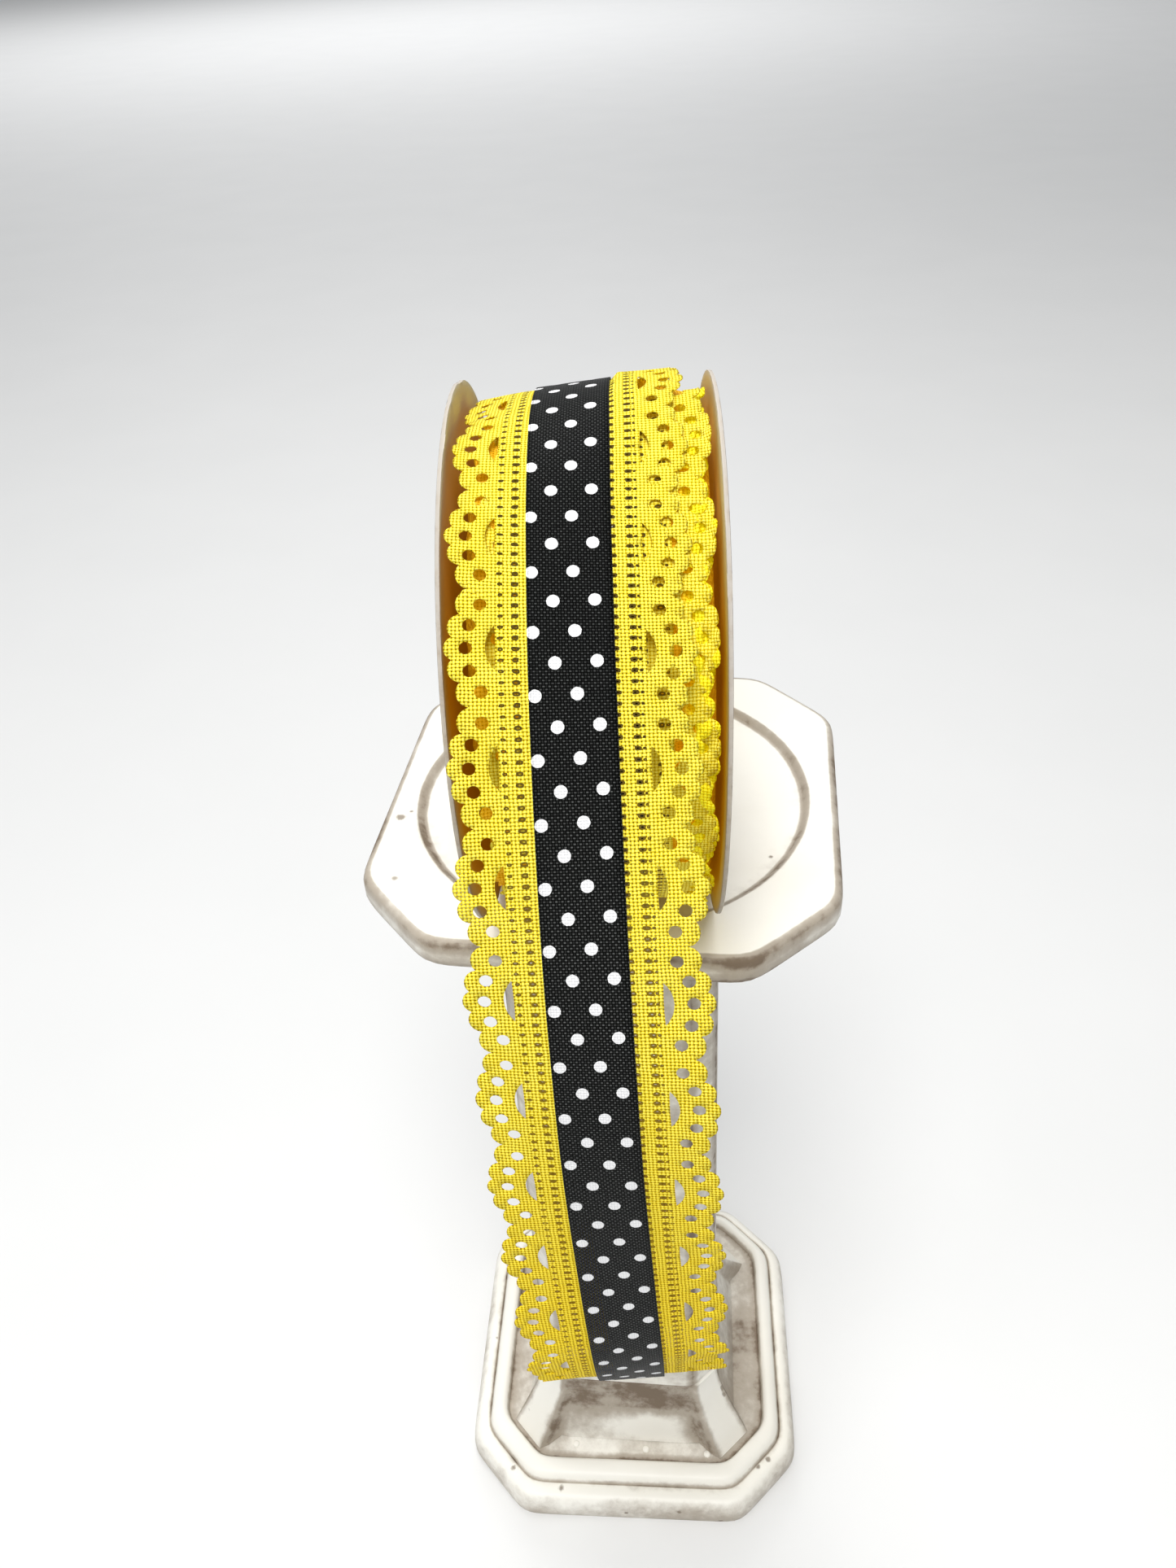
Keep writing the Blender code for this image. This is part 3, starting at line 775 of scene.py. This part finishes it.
# Printed dots: distance to the nearest point of two staggered rectangular grids.
tree, given, result = new_group(
    "printed_dots",
    (("Flat", "Vector", None), ("Radius", "Float", 1.0)),
    ("Dot",),
)
printed_dots = tree
parts = add_node(tree, "SeparateXYZ", Vector=given["Flat"])
skewed = maths(tree, "MULTIPLY_ADD", parts.outputs["Y"], -DOT_DRIFT, parts.outputs["X"])
skewed = maths(tree, "SUBTRACT", skewed, DOT_FIRST)
leaning = maths(tree, "MULTIPLY_ADD", skewed, DOT_LEAN, parts.outputs["Y"])
leaning = maths(tree, "SUBTRACT", leaning, DOT_START)
nearest = None
for shift in (0.0, 0.5):
    ways = []
    for value, pitch in ((skewed, DOT_ACROSS), (leaning, 2 * DOT_ALONG)):
        cell = maths(tree, "MULTIPLY_ADD", value, 1.0 / pitch, 0.5 - shift)
        cell = maths(tree, "SUBTRACT", maths(tree, "FRACT", cell), 0.5)
        ways.append(maths(tree, "MULTIPLY", cell, pitch))
    squares = [maths(tree, "MULTIPLY", way, way) for way in ways]
    distance = maths(tree, "SQRT", maths(tree, "ADD", squares[0], squares[1]))
    nearest = distance if nearest is None else maths(tree, "MINIMUM", nearest, distance)
ragged = speckle(tree, given["Flat"], 2.6, 1.0)
ragged = maths(tree, "MULTIPLY_ADD", ragged, 0.16, given["Radius"])
ragged = maths(tree, "SUBTRACT", ragged, 0.08)
inked = maths(tree, "LESS_THAN", nearest, ragged)
printed = maths(tree, "LESS_THAN", skewed, LAST_DOT_OUT - DOT_FIRST)
feed(tree, result["Dot"], maths(tree, "MULTIPLY", inked, printed))

band_cloth, tree, shader = new_material("dotted_band_cloth", 0.5, specular=0.04)
flat = add_node(tree, "UVMap", {"uv_map": "laid_flat"}).outputs[0]
weave = use_group(tree, plain_weave, Flat=flat, Pitch=BAND_PITCH, Pinhole=0.13)
dot = use_group(tree, printed_dots, Flat=flat, Radius=DOT_RADIUS)["Dot"]
# Painted glints on the thread crowns, flecked by noise and strongest on one set of threads.
speck = speckle(tree, flat, 1.9, 2.0)
crown = fade(tree, weave["Height"], 0.45, 0.95)
crown = maths(tree, "MULTIPLY", crown, fade(tree, speck, 0.3, 0.62, 0.35, 1.0))
crown = maths(tree, "MULTIPLY", crown, fade(tree, weave["Warp"], 0.0, 1.0, 0.25, 1.0))
parts = add_node(tree, "SeparateXYZ", Vector=flat)
on_loose_end = fade(tree, parts.outputs["Y"], 30.0, 110.0)
thread_black_and_glint = mix(tree, on_loose_end, ROLL_THREAD_BLACK_AND_GLINT, LOOSE_END_THREAD_BLACK_AND_GLINT)
black = mix(tree, crown, BETWEEN_THREADS, thread_black_and_glint)
ink = mix(tree, fade(tree, weave["Height"], 0.0, 0.35), DOT_HOLLOW, DOT_WHITE)
feed(tree, shader.inputs["Base Color"], mix(tree, dot, black, ink))
feed(tree, shader.inputs["Roughness"], fade(tree, dot, 0.0, 1.0, 0.42, 0.7))
pinhole = use_group(tree, plain_weave, Flat=flat, Pitch=BAND_PITCH, Pinhole=0.15)["Hole"]
printed_hole = maths(tree, "MULTIPLY", pinhole, maths(tree, "SUBTRACT", 1.0, dot))
over_lap = fade(tree, parts.outputs["X"], LAP - BAND_HALF - 0.1, LAP - BAND_HALF, 1.0, 0.0)
lit_through = maths(tree, "GREATER_THAN", parts.outputs["Y"], LIT_THROUGH_FROM)
over_lap = maths(tree, "MULTIPLY", over_lap, lit_through)
printed_hole = maths(tree, "MULTIPLY", printed_hole, over_lap)
feed(tree, shader.inputs["Alpha"], maths(tree, "SUBTRACT", 1.0, printed_hole))
emboss(tree, shader, weave["Height"], 0.00012, 0.8)


def make_band(name, start, end):
    """A stretch of the band, from a flat grid bent onto the ribbon's course."""
    bm = bmesh.new()
    corners = ((-BAND_HALF, start), (BAND_HALF, start), (BAND_HALF, end), (-BAND_HALF, end))
    bm.faces.new([bm.verts.new((across, along, 0.0)) for across, along in corners])
    count = int((end - start) / FOLD_STEP)
    for fold in range(1, count):
        slice_flat(bm, (0.0, start + (end - start) * fold / count, 0.0), (0, 1, 0))
    for fold in range(-3, 4):
        slice_flat(bm, (fold * BAND_FOLD_OUT, 0.0, 0.0), (1, 0, 0))
    lay_flat_map(bm)
    for vert in bm.verts:
        vert.co = on_course(vert.co.x, vert.co.y, 0.0)
    piece = cloth_piece(bm, name, band_cloth)
    return piece


outer_band = make_band("band", -turn_ends[1], TAIL_LENGTH)
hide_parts("band_tail")
make_band("turn_1_band", -turn_ends[2], -turn_ends[1])

# Inner turns
# The rest of the wound ribbon, seen only through the lace and beside it as the stacked edges
# of many turns: one turned body with a fine groove between each two edges.

INNER_SIDES = 180
INNER_DEPTH = 3.6
GROOVED_TO = -16.0
# Place along the spool's axis, and drop below the roll's round.
INNER_PROFILE = (
    (-19.9, 30.0), (-18.2, 5.5), (-16.6, 1.4), (-14.0, 0.3), (-7.0, 0.0),
    (0.0, 0.0), (7.0, 0.0), (14.0, 0.2), (18.4, 0.4), (19.9, 2.4),
)
# The inner turns' yellows are painted orange shade, for light passed down through the covering
# layers.
INNER_SHADED_DEEP = (0.55, 0.24, 0.006, 1)
INNER_SHADED_BRIGHT = (0.93, 0.62, 0.02, 1)


def first_ring(bm, sides):
    """A closed circle whose points keep their own angle, and its edges."""
    layer = bm.verts.layers.float.new("angle")
    ring = bmesh.ops.create_circle(bm, cap_ends=True, segments=sides, radius=1.0)["verts"]
    for vert in ring:
        vert[layer] = atan2(vert.co.y, vert.co.x)
    return layer, ring, bm.edges[:]


def next_ring(bm, edges):
    """The ring drawn out from the last one: its points and its edges."""
    grown = bmesh.ops.extrude_edge_only(bm, edges=edges)["geom"]
    ring = [item for item in grown if isinstance(item, bmesh.types.BMVert)]
    known = set(ring)
    edges = [item for item in grown if isinstance(item, bmesh.types.BMEdge)]
    return ring, [edge for edge in edges if all(vert in known for vert in edge.verts)]


inner_rings = [INNER_PROFILE[0]]
for (across, drop), (next_across, next_drop) in zip(INNER_PROFILE, INNER_PROFILE[1:]):
    wider = next_across - across
    deeper = next_drop - drop
    count = max(1, round(abs(deeper) / 0.6), round(wider / 2.0))
    for step in range(1, count + 1):
        share = step / count
        inner_rings.append((across + wider * share, drop + deeper * share))

bm = bmesh.new()
angle_layer, ring, edges = first_ring(bm, INNER_SIDES)
for number, (across, drop) in enumerate(inner_rings):
    if number:
        ring, edges = next_ring(bm, edges)
    ridge = 1.0 if across < GROOVED_TO and number % 2 else 0.0
    for vert in ring:
        angle = vert[angle_layer]
        degrees = (angle * 180.0 / pi) % 360.0
        slope = radians(read_course(ROLL_ROUND, 2, degrees))
        bumpy = uneven(across * 0.6, angle * 14.0, drop * 0.9)
        radius = read_course(ROLL_ROUND, 1, degrees) - INNER_DEPTH - drop
        radius += across * sin(slope) + 0.35 * bumpy
        aside = across - ridge * (0.35 + 0.25 * bumpy)
        vert.co = spool_matrix @ (Vector((aside, -radius * sin(angle), radius * cos(angle))) * MM)
bmesh.ops.edgeloop_fill(bm, edges=edges)
bmesh.ops.recalc_face_normals(bm, faces=bm.faces[:])

inner_shaded_cloth, tree, shader = new_material("inner_turns_shaded_cloth", 0.8, specular=0.1)
# A painted glow, for light passed through the covering layers.
shader.inputs["Emission Color"].default_value = LACE_PAINTED_GLOW
shader.inputs["Emission Strength"].default_value = 0.12
place = add_node(tree, "TexCoord").outputs["Object"]
fine = speckle(tree, place, 1400.0, 3.0)
broad = speckle(tree, place, 160.0, 2.0)
tone = fade(tree, broad, 0.2, 0.7, 0.5, 1.0)
tone = maths(tree, "MULTIPLY", fade(tree, fine, 0.35, 0.65), tone)
feed(tree, shader.inputs["Base Color"], mix(tree, tone, INNER_SHADED_DEEP, INNER_SHADED_BRIGHT))
emboss(tree, shader, fine, 0.0004, 0.8)
inner_turns = new_piece(bm, "inner_turns", inner_shaded_cloth)
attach(inner_turns, "root")
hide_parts("wound_roll")

# Flanges
# Two plain discs punched from grey card, matt, with a paler bruised rim. They close the wound
# roll on both sides and stand on their rims in the plate's dish.

FLANGE_THICK = 0.75
SPOOL_HALF = 21.8
FLANGE_SIDES = 180
# How much of each rim is pressed flat where it stands on the plate.
FLANGE_FLAT = 0.4
# Widths of the rings that the two faces are cut into, from the rim inwards.
FLANGE_INSETS = (0.35, 1.0, 4.0)
GLOW_WIDTH = 2.2
RIM_PINCH = 0.78
CARD_DARK = (0.30, 0.235, 0.17, 1)
CARD_GREY = (0.44, 0.37, 0.29, 1)
# Painted light from above, on the inner face near the top.
CARD_PAINTED_TOP_LIGHT = (0.66, 0.60, 0.51, 1)
CARD_BRUISED = (0.54, 0.505, 0.46, 1)
# Painted light on the card inside the spool, from light passed by the yellow cloth: low down
# and at the top.
CARD_LIT = (0.64, 0.40, 0.018, 1)
CARD_LIT_TOP = (0.74, 0.60, 0.34, 1)


def mesh_share(tree, name):
    """A share from 0 to 1 that the mesh itself holds."""
    return add_node(tree, "Attribute", {"attribute_name": name}).outputs["Fac"]


flange_card, tree, shader = new_material("grey_card", 0.82, specular=0.12)
place = add_node(tree, "TexCoord").outputs["Object"]
fibre_place = add_node(tree, "Mapping", Vector=place)
fibre_place.inputs["Scale"].default_value = (1.0, 0.35, 2.4)
fibre = speckle(tree, fibre_place.outputs[0], 900.0, 4.0)
cloud = speckle(tree, place, 60.0, 3.0)
tone = maths(tree, "MULTIPLY_ADD", fibre, 0.6, maths(tree, "MULTIPLY", cloud, 0.4))
card_colour = mix(tree, fade(tree, tone, 0.3, 0.7), CARD_DARK, CARD_GREY)
near_top = fade(tree, add_node(tree, "SeparateXYZ", Vector=place).outputs["Z"], 0.325, 0.352)
painted_lit_card = mix(tree, near_top, CARD_LIT, CARD_LIT_TOP)
painted_top_light = maths(tree, "MULTIPLY", mesh_share(tree, "inside"), near_top)
card_colour = mix(tree, painted_top_light, card_colour, CARD_PAINTED_TOP_LIGHT)
card_colour = mix(tree, mesh_share(tree, "glow"), card_colour, painted_lit_card)
bruise = fade(tree, speckle(tree, place, 420.0, 3.0), 0.25, 0.6, 0.45, 1.0)
rim_share = maths(tree, "MULTIPLY", mesh_share(tree, "rim"), bruise)
card_colour = mix(tree, rim_share, card_colour, CARD_BRUISED)
feed(tree, shader.inputs["Base Color"], card_colour)
emboss(tree, shader, tone, 0.00015, 0.6)

for side, name in ((-1, "left"), (1, "right")):
    bm = bmesh.new()
    rim_layer = bm.verts.layers.float.new("rim")
    glow_layer = bm.verts.layers.float.new("glow")
    inside_layer = bm.verts.layers.float.new("inside")
    size = {"radius1": FLANGE_RADIUS, "radius2": FLANGE_RADIUS, "depth": FLANGE_THICK}
    bmesh.ops.create_cone(bm, cap_ends=True, segments=FLANGE_SIDES, **size)
    for inset in FLANGE_INSETS:
        caps = [face for face in bm.faces if len(face.verts) > 4]
        bmesh.ops.inset_region(bm, faces=caps, thickness=inset, use_even_offset=True)
    for vert in bm.verts:
        reach = hypot(vert.co.x, vert.co.y)
        edge = reach > FLANGE_RADIUS - 0.1
        outer_side = vert.co.z * side > 0
        vert[rim_layer] = (1.0 if outer_side else 0.6) if edge else 0.0
        # The glow share marks where painted light lies on the inner face, growing in from the rim.
        glow_share = min((FLANGE_RADIUS - reach) / GLOW_WIDTH, 1.0)
        vert[glow_layer] = 0.0 if outer_side else glow_share
        vert[inside_layer] = 0.0 if outer_side else 1.0
        angle = atan2(vert.co.y, vert.co.x)
        nick = uneven(cos(angle) * 14, sin(angle) * 14, side * 3.0)
        fray = uneven(cos(angle) * 60, sin(angle) * 60, side * 9.0)
        if edge:
            inward = 0.10 + max(0.0, nick - 0.25) * 0.9 + 0.08 * fray
            vert.co.x *= 1.0 - inward / FLANGE_RADIUS
            vert.co.y *= 1.0 - inward / FLANGE_RADIUS
            vert.co.z *= RIM_PINCH
        warp = 0.18 * sin(2 * angle + side)
        along = side * (SPOOL_HALF - FLANGE_THICK / 2) + vert.co.z
        along += warp * (reach / FLANGE_RADIUS) ** 2
        high = max(-vert.co.x, FLANGE_FLAT - FLANGE_RADIUS)
        vert.co = spool_matrix @ (Vector((along, vert.co.y, high)) * MM)
    bmesh.ops.triangulate(bm, faces=[face for face in bm.faces if len(face.verts) > 4])
    bmesh.ops.recalc_face_normals(bm, faces=bm.faces[:])
    flange = new_piece(bm, f"flange_{name}_card", flange_card)
    flange.data.set_sharp_from_angle(angle=radians(30))
    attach(flange, "root")
    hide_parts(f"flange_{name}")

# Pedestal stand
# A turned-out wooden stand in four glued pieces under thick white paint, rubbed through to
# taupe and brown along its edges. Painted shade darkens the same paint in the base's groove
# and sunk field, towards the bottom of the slab, in the foot's hollows, under the plate's edge
# and on the post below the plate; the foot's front scoop has a painted highlight.

RING_SIDES = 192
CORNER_SHARPNESS = 46.0
CUT_PER_INSET = 0.586
PAINT_CLEAN = (0.95, 0.93, 0.86, 1)
PAINT_SMUDGED = (0.88, 0.85, 0.765, 1)
PAINT_THIN_AND_SHADE = (0.44, 0.385, 0.315, 1)
BARE_WOOD = (0.20, 0.15, 0.105, 1)
# Nicks through the paint of the base's slab and the plate: across, deep, up and size, in
# millimetres.
PAINT_NICKS = (
    (-36.9, -45.9, 9.4, 1.3), (-20.6, -50.7, 9.4, 1.5), (-31.9, -53.4, 1.5, 1.6),
    (0.4, -54.2, 4.0, 1.2), (17.3, -54.2, 6.0, 1.2), (30.6, -54.0, 1.2, 1.5),
    (39.5, -49.5, 4.0, 1.2), (45.9, -37.4, 9.4, 1.3), (42.7, -39.9, 9.4, 1.2),
    (-45.4, -11.6, 256.6, 1.5), (-43.6, -9.4, 256.6, 0.9), (35.6, -20.0, 255.0, 0.8),
)

# One paint for every piece of the stand. The mesh's wear_and_shade share thins it to taupe and
# brown, both where it is rubbed and where shade is painted.
worn_and_shaded_paint, tree, shader = new_material("worn_and_shaded_white_paint", 0.5, specular=0.4)
place = add_node(tree, "TexCoord").outputs["Object"]
wear_and_shade = mesh_share(tree, "wear_and_shade")
broad = speckle(tree, place, 45.0, 4.0, Roughness=0.6)
fine = speckle(tree, place, 330.0, 5.0, Roughness=0.65)
rub_and_shade = maths(tree, "MULTIPLY_ADD", broad, 1.0, maths(tree, "MULTIPLY", fine, 0.45))
rub_and_shade = maths(tree, "ADD", rub_and_shade, maths(tree, "MULTIPLY_ADD", wear_and_shade, 0.95, -0.725))
thin_and_shade = fade(tree, rub_and_shade, 0.28, 0.86)
bare = fade(tree, rub_and_shade, 0.84, 1.06)
chip = fade(tree, speckle(tree, place, 110.0, 2.0), 0.73, 0.76, 0.0, 0.7)
bare = maths(tree, "MAXIMUM", bare, chip)
smudge = fade(tree, speckle(tree, place, 24.0, 5.0), 0.4, 0.75)
for across, deep, up, size in PAINT_NICKS:
    away = add_node(tree, "VectorMath", {"operation": "DISTANCE"})
    feed(tree, away.inputs[0], place)
    feed(tree, away.inputs[1], (across * MM, deep * MM, up * MM))
    ragged = maths(tree, "MULTIPLY_ADD", fine, -1.6 * size * MM, away.outputs["Value"])
    nick = fade(tree, ragged, -0.5 * size * MM, 0.1 * size * MM, 0.8, 0.0)
    bare = maths(tree, "MAXIMUM", bare, nick)
paint = mix(tree, smudge, PAINT_CLEAN, PAINT_SMUDGED)
paint = mix(tree, thin_and_shade, paint, PAINT_THIN_AND_SHADE)
paint = mix(tree, bare, paint, BARE_WOOD)
feed(tree, shader.inputs["Base Color"], paint)
feed(tree, shader.inputs["Roughness"], fade(tree, bare, 0.0, 1.0, 0.45, 0.7))
grain = maths(tree, "MULTIPLY", fine, 0.3)
relief = maths(tree, "SUBTRACT", grain, maths(tree, "MULTIPLY", bare, 0.8))
emboss(tree, shader, relief, 0.0004, 0.5)


def octagon(half_width, corner_cut):
    """Distance by angle from the middle to the side of an octagon with softened corners."""
    diagonal = (2 * half_width - corner_cut) / sqrt(2)

    def reach(angle):
        total = 0.0
        for side in range(8):
            facing = cos(angle - side * pi / 4)
            if facing > 0.05:
                total += (facing / (half_width if side % 2 == 0 else diagonal)) ** CORNER_SHARPNESS
        return total ** (-1.0 / CORNER_SHARPNESS)

    return reach


def lofted(name, rings, node, turned=0.0):
    """A closed stand piece, turned by degrees, of rings: reach, height, wear and painted shade,
    middle.
    """
    bm = bmesh.new()
    wear_and_shade_layer = bm.verts.layers.float.new("wear_and_shade")
    angle_layer, ring, edges = first_ring(bm, RING_SIDES)
    for number, (reach, height, wear_and_shade, middle) in enumerate(rings):
        if number:
            ring, edges = next_ring(bm, edges)
        for vert in ring:
            angle = vert[angle_layer]
            out = reach(angle)
            facing = angle + radians(turned)
            across = middle[0] + cos(facing) * out
            deep = middle[1] + sin(facing) * out
            vert.co = Vector((across, deep, height)) * MM
            vert[wear_and_shade_layer] = wear_and_shade(angle) if callable(wear_and_shade) else wear_and_shade
    bmesh.ops.edgeloop_fill(bm, edges=edges)
    bmesh.ops.recalc_face_normals(bm, faces=bm.faces[:])
    if bm.calc_volume(signed=True) < 0.0:
        bmesh.ops.reverse_faces(bm, faces=bm.faces[:])
    piece = new_piece(bm, name, worn_and_shaded_paint)
    piece.data.set_sharp_from_angle(angle=radians(50))
    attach(piece, "root")
    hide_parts(node)


def octagon_rings(outer, *rows):
    """Rings of half width, height, wear and painted shade, at one distance from the outer octagon.
    """
    outer_half, outer_cut, middle, lift = outer
    rings = []
    for half_width, height, wear_and_shade in rows:
        reach = octagon(half_width, outer_cut - CUT_PER_INSET * (outer_half - half_width))
        rings.append((reach, lift + height, wear_and_shade, middle))
    return rings


def field_wear_and_shade(angle):
    """The sunk field round the foot is darkest at its two sides: soiled paint and painted shade.
    """
    return 0.54 + 0.26 * cos(angle) ** 2


# Each ring of the base and the plate: half width or radius, height, and wear with painted
# shade. The middles are across and deep.
BASE_HALF = 53.5
BASE_CUT = 18.8
SLAB_MIDDLE = (0.3, -0.9)
MOULDING_MIDDLE = (0.4, 0.4)
FIELD_MIDDLE = (0.6, 2.0)
FIELD_HEIGHT = 8.8
# The slab darkens towards its bottom, and the moulding's groove and the foot of the frame's inner
# wall are dark: worn paint and painted shade together.
base_rings = octagon_rings(
    (BASE_HALF, BASE_CUT, SLAB_MIDDLE, 0.0),
    (25.0, 0.0, 0.0), (53.0, 0.0, 0.85), (53.7, 0.5, 0.82), (53.9, 1.6, 0.76),
    (53.8, 3.6, 0.7), (53.5, 6.0, 0.6), (53.0, 7.6, 0.54), (52.2, 8.8, 0.44),
    (51.4, 9.35, 0.3), (50.6, 9.5, 0.1),
)
base_rings += octagon_rings(
    (BASE_HALF, BASE_CUT, MOULDING_MIDDLE, 0.0),
    (49.2, 9.3, 0.45), (48.6, 8.8, 0.95), (48.2, 9.2, 0.7), (47.8, 10.6, 0.3),
    (47.2, 11.5, 0.15), (46.2, 12.0, 0.1),
)
base_rings += octagon_rings(
    (BASE_HALF, BASE_CUT, FIELD_MIDDLE, 0.0),
    (44.6, 12.0, 0.1), (43.8, 11.6, 0.15), (43.3, 10.7, 0.5), (42.9, 9.6, 0.85),
    (42.5, 8.9, 1.0), (41.8, FIELD_HEIGHT, 0.9), (40.2, FIELD_HEIGHT, field_wear_and_shade),
    (37.0, FIELD_HEIGHT, field_wear_and_shade), (30.0, FIELD_HEIGHT, field_wear_and_shade),
)
lofted("stand_base_painted", base_rings, "stand_base", turned=1.9)

plate_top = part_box("stand_plate")[1].z / MM
PLATE_HALF = 50.0
PLATE_CUT = 17.8
PLATE_MIDDLE = (0.8, -0.9)
# The plate darkens round its dish's rim and under its edge: worn paint, and painted shade under
# the edge.
plate_rings = [
    (lambda angle, radius=radius: radius, plate_top + height, wear_and_shade, PLATE_MIDDLE)
    for radius, height, wear_and_shade in (
        (20.0, -1.6, 0.05), (38.0, -1.6, 0.1), (41.5, -1.6, 0.3), (42.0, -1.55, 0.78),
        (42.5, -1.25, 0.88), (43.0, -0.6, 0.86), (43.6, -0.12, 0.82), (44.1, 0.0, 0.25),
        (45.4, 0.0, 0.0),
    )
]
plate_rings += octagon_rings(
    (PLATE_HALF, PLATE_CUT, PLATE_MIDDLE, plate_top),
    (47.9, 0.0, 0.05), (48.5, -0.08, 0.74), (49.3, -0.4, 0.92), (49.8, -1.1, 0.98),
    (50.0, -2.0, 0.86), (50.0, -3.6, 0.62), (50.0, -5.0, 0.7), (49.7, -6.2, 0.9),
    (48.9, -7.3, 0.9), (47.4, -7.8, 0.6), (30.0, -7.8, 0.2),
)
lofted("stand_plate_painted", plate_rings, "stand_plate", turned=-2.0)

# Half width and corner cut of the post where it stands on the foot. The front of the foot has
# a pale scoop, a painted highlight, in its hollow of worn paint and painted shade, a little to
# the right, in radians.
POST_BOTTOM_HALF = 28.0
POST_BOTTOM_CUT = 7.0
SCOOP_ASIDE = 0.22


def from_diagonal(angle):
    """Angle to the nearest corner of a square piece, in radians."""
    return abs((angle % (pi / 2)) - pi / 4)


def foot_ring(up, bottom, rise):
    """A section of the foot: a square with hollowed sides and a bar out to each corner."""
    flare = (1.0 - up) ** 2
    half_width = POST_BOTTOM_HALF + 6.5 * flare
    bar_out = 34.6 + 13.8 * (1.0 - up) ** 1.5
    bar_half = 4.9 + 2.6 * (1.0 - up)
    square = octagon(half_width, POST_BOTTOM_CUT + 4.0 * flare)

    def reach(angle):
        off_diagonal = from_diagonal(angle)
        bar = min(bar_out / cos(off_diagonal), bar_half / max(sin(off_diagonal), 0.02))
        return (square(angle) ** 30 + bar**30) ** (1 / 30)

    # Worn paint along the bars and in the hollows, with painted shade on the hollows' steep upper
    # faces and along the right front bar, and a painted highlight in the scoop.
    def wear_and_shade(angle):
        bar_edge = asin(min(bar_half / bar_out, 0.9))
        beside = from_diagonal(angle) - bar_edge
        from_front = angle + pi / 2
        darkened_width = 0.05
        if beside >= 0.0:
            darkened_width = 0.17 if 0.0 < from_front < pi / 4 else 0.09
        beside /= darkened_width
        from_scoop = hypot((from_front - SCOOP_ASIDE) / 0.3, (up - 0.2) / 0.22)
        darkened_up = (up - 0.22 - 0.15 * abs(from_front)) / 0.25
        hollow = 0.66 + 0.36 * min(max(darkened_up, 0.0), 1.0)
        hollow -= 0.72 * exp(-from_scoop * from_scoop)
        return max(0.12 + 0.8 * exp(-beside * beside), hollow if beside > 0 else 0.12)

    return reach, bottom + rise * up, wear_and_shade, (0.0, 0.0)


foot_low, foot_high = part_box("stand_foot")
foot_bottom = foot_low.z / MM
foot_rise = (foot_high.z - foot_low.z) / MM
foot_rings = [foot_ring(step / 16, foot_bottom, foot_rise) for step in range(17)]
lofted("stand_foot_painted", foot_rings, "stand_foot", turned=1.0)

# Angle from a corner of the post to the edge of its cut, in radians.
POST_EDGE = 0.13
post_low, post_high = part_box("stand_post")
post_bottom = post_low.z / MM
post_rise = (post_high.z - post_low.z) / MM
post_rings = []
for step in range(31):
    up = step / 30
    reach = octagon(POST_BOTTOM_HALF - 3.0 * up, POST_BOTTOM_CUT - 1.5 * up)

    # Rubbed corners, and greyer faces towards the top: painted shade under the plate.
    def post_wear_and_shade(angle, up=up):
        corner = bell(from_diagonal(angle), POST_EDGE, 0.075)
        near_corner = bell(from_diagonal(angle), POST_EDGE, 0.28)
        return max(0.40 + 0.1 * up + 0.2 * near_corner, 1.04 * corner)

    post_rings.append((reach, post_bottom + post_rise * up, post_wear_and_shade, (0.0, 0.0)))
lofted("stand_post_painted", post_rings, "stand_post")

# Dried drops
# Three round drops of the same white paint, run down and dried hard on the sunk field of the
# base, in front of the foot.

DROP_PLACES = ((-17.1, -36.8), (6.0, -36.9), (26.1, -37.0))
DROP_RADIUS = 1.1
DROP_FLATNESS = 0.55

bm = bmesh.new()
# New paint: its wear and painted shade are nothing all over.
bm.verts.layers.float.new("wear_and_shade")
for across, deep in DROP_PLACES:
    place = Matrix.Translation(Vector((across, deep, FIELD_HEIGHT)) * MM)
    place = place @ Matrix.Diagonal((1.0, 1.0, DROP_FLATNESS, 1.0))
    bmesh.ops.create_uvsphere(
        bm, u_segments=24, v_segments=16, radius=DROP_RADIUS * MM, matrix=place
    )
paint_drops = new_piece(bm, "paint_drops", worn_and_shaded_paint)
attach(paint_drops, "root")

low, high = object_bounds()
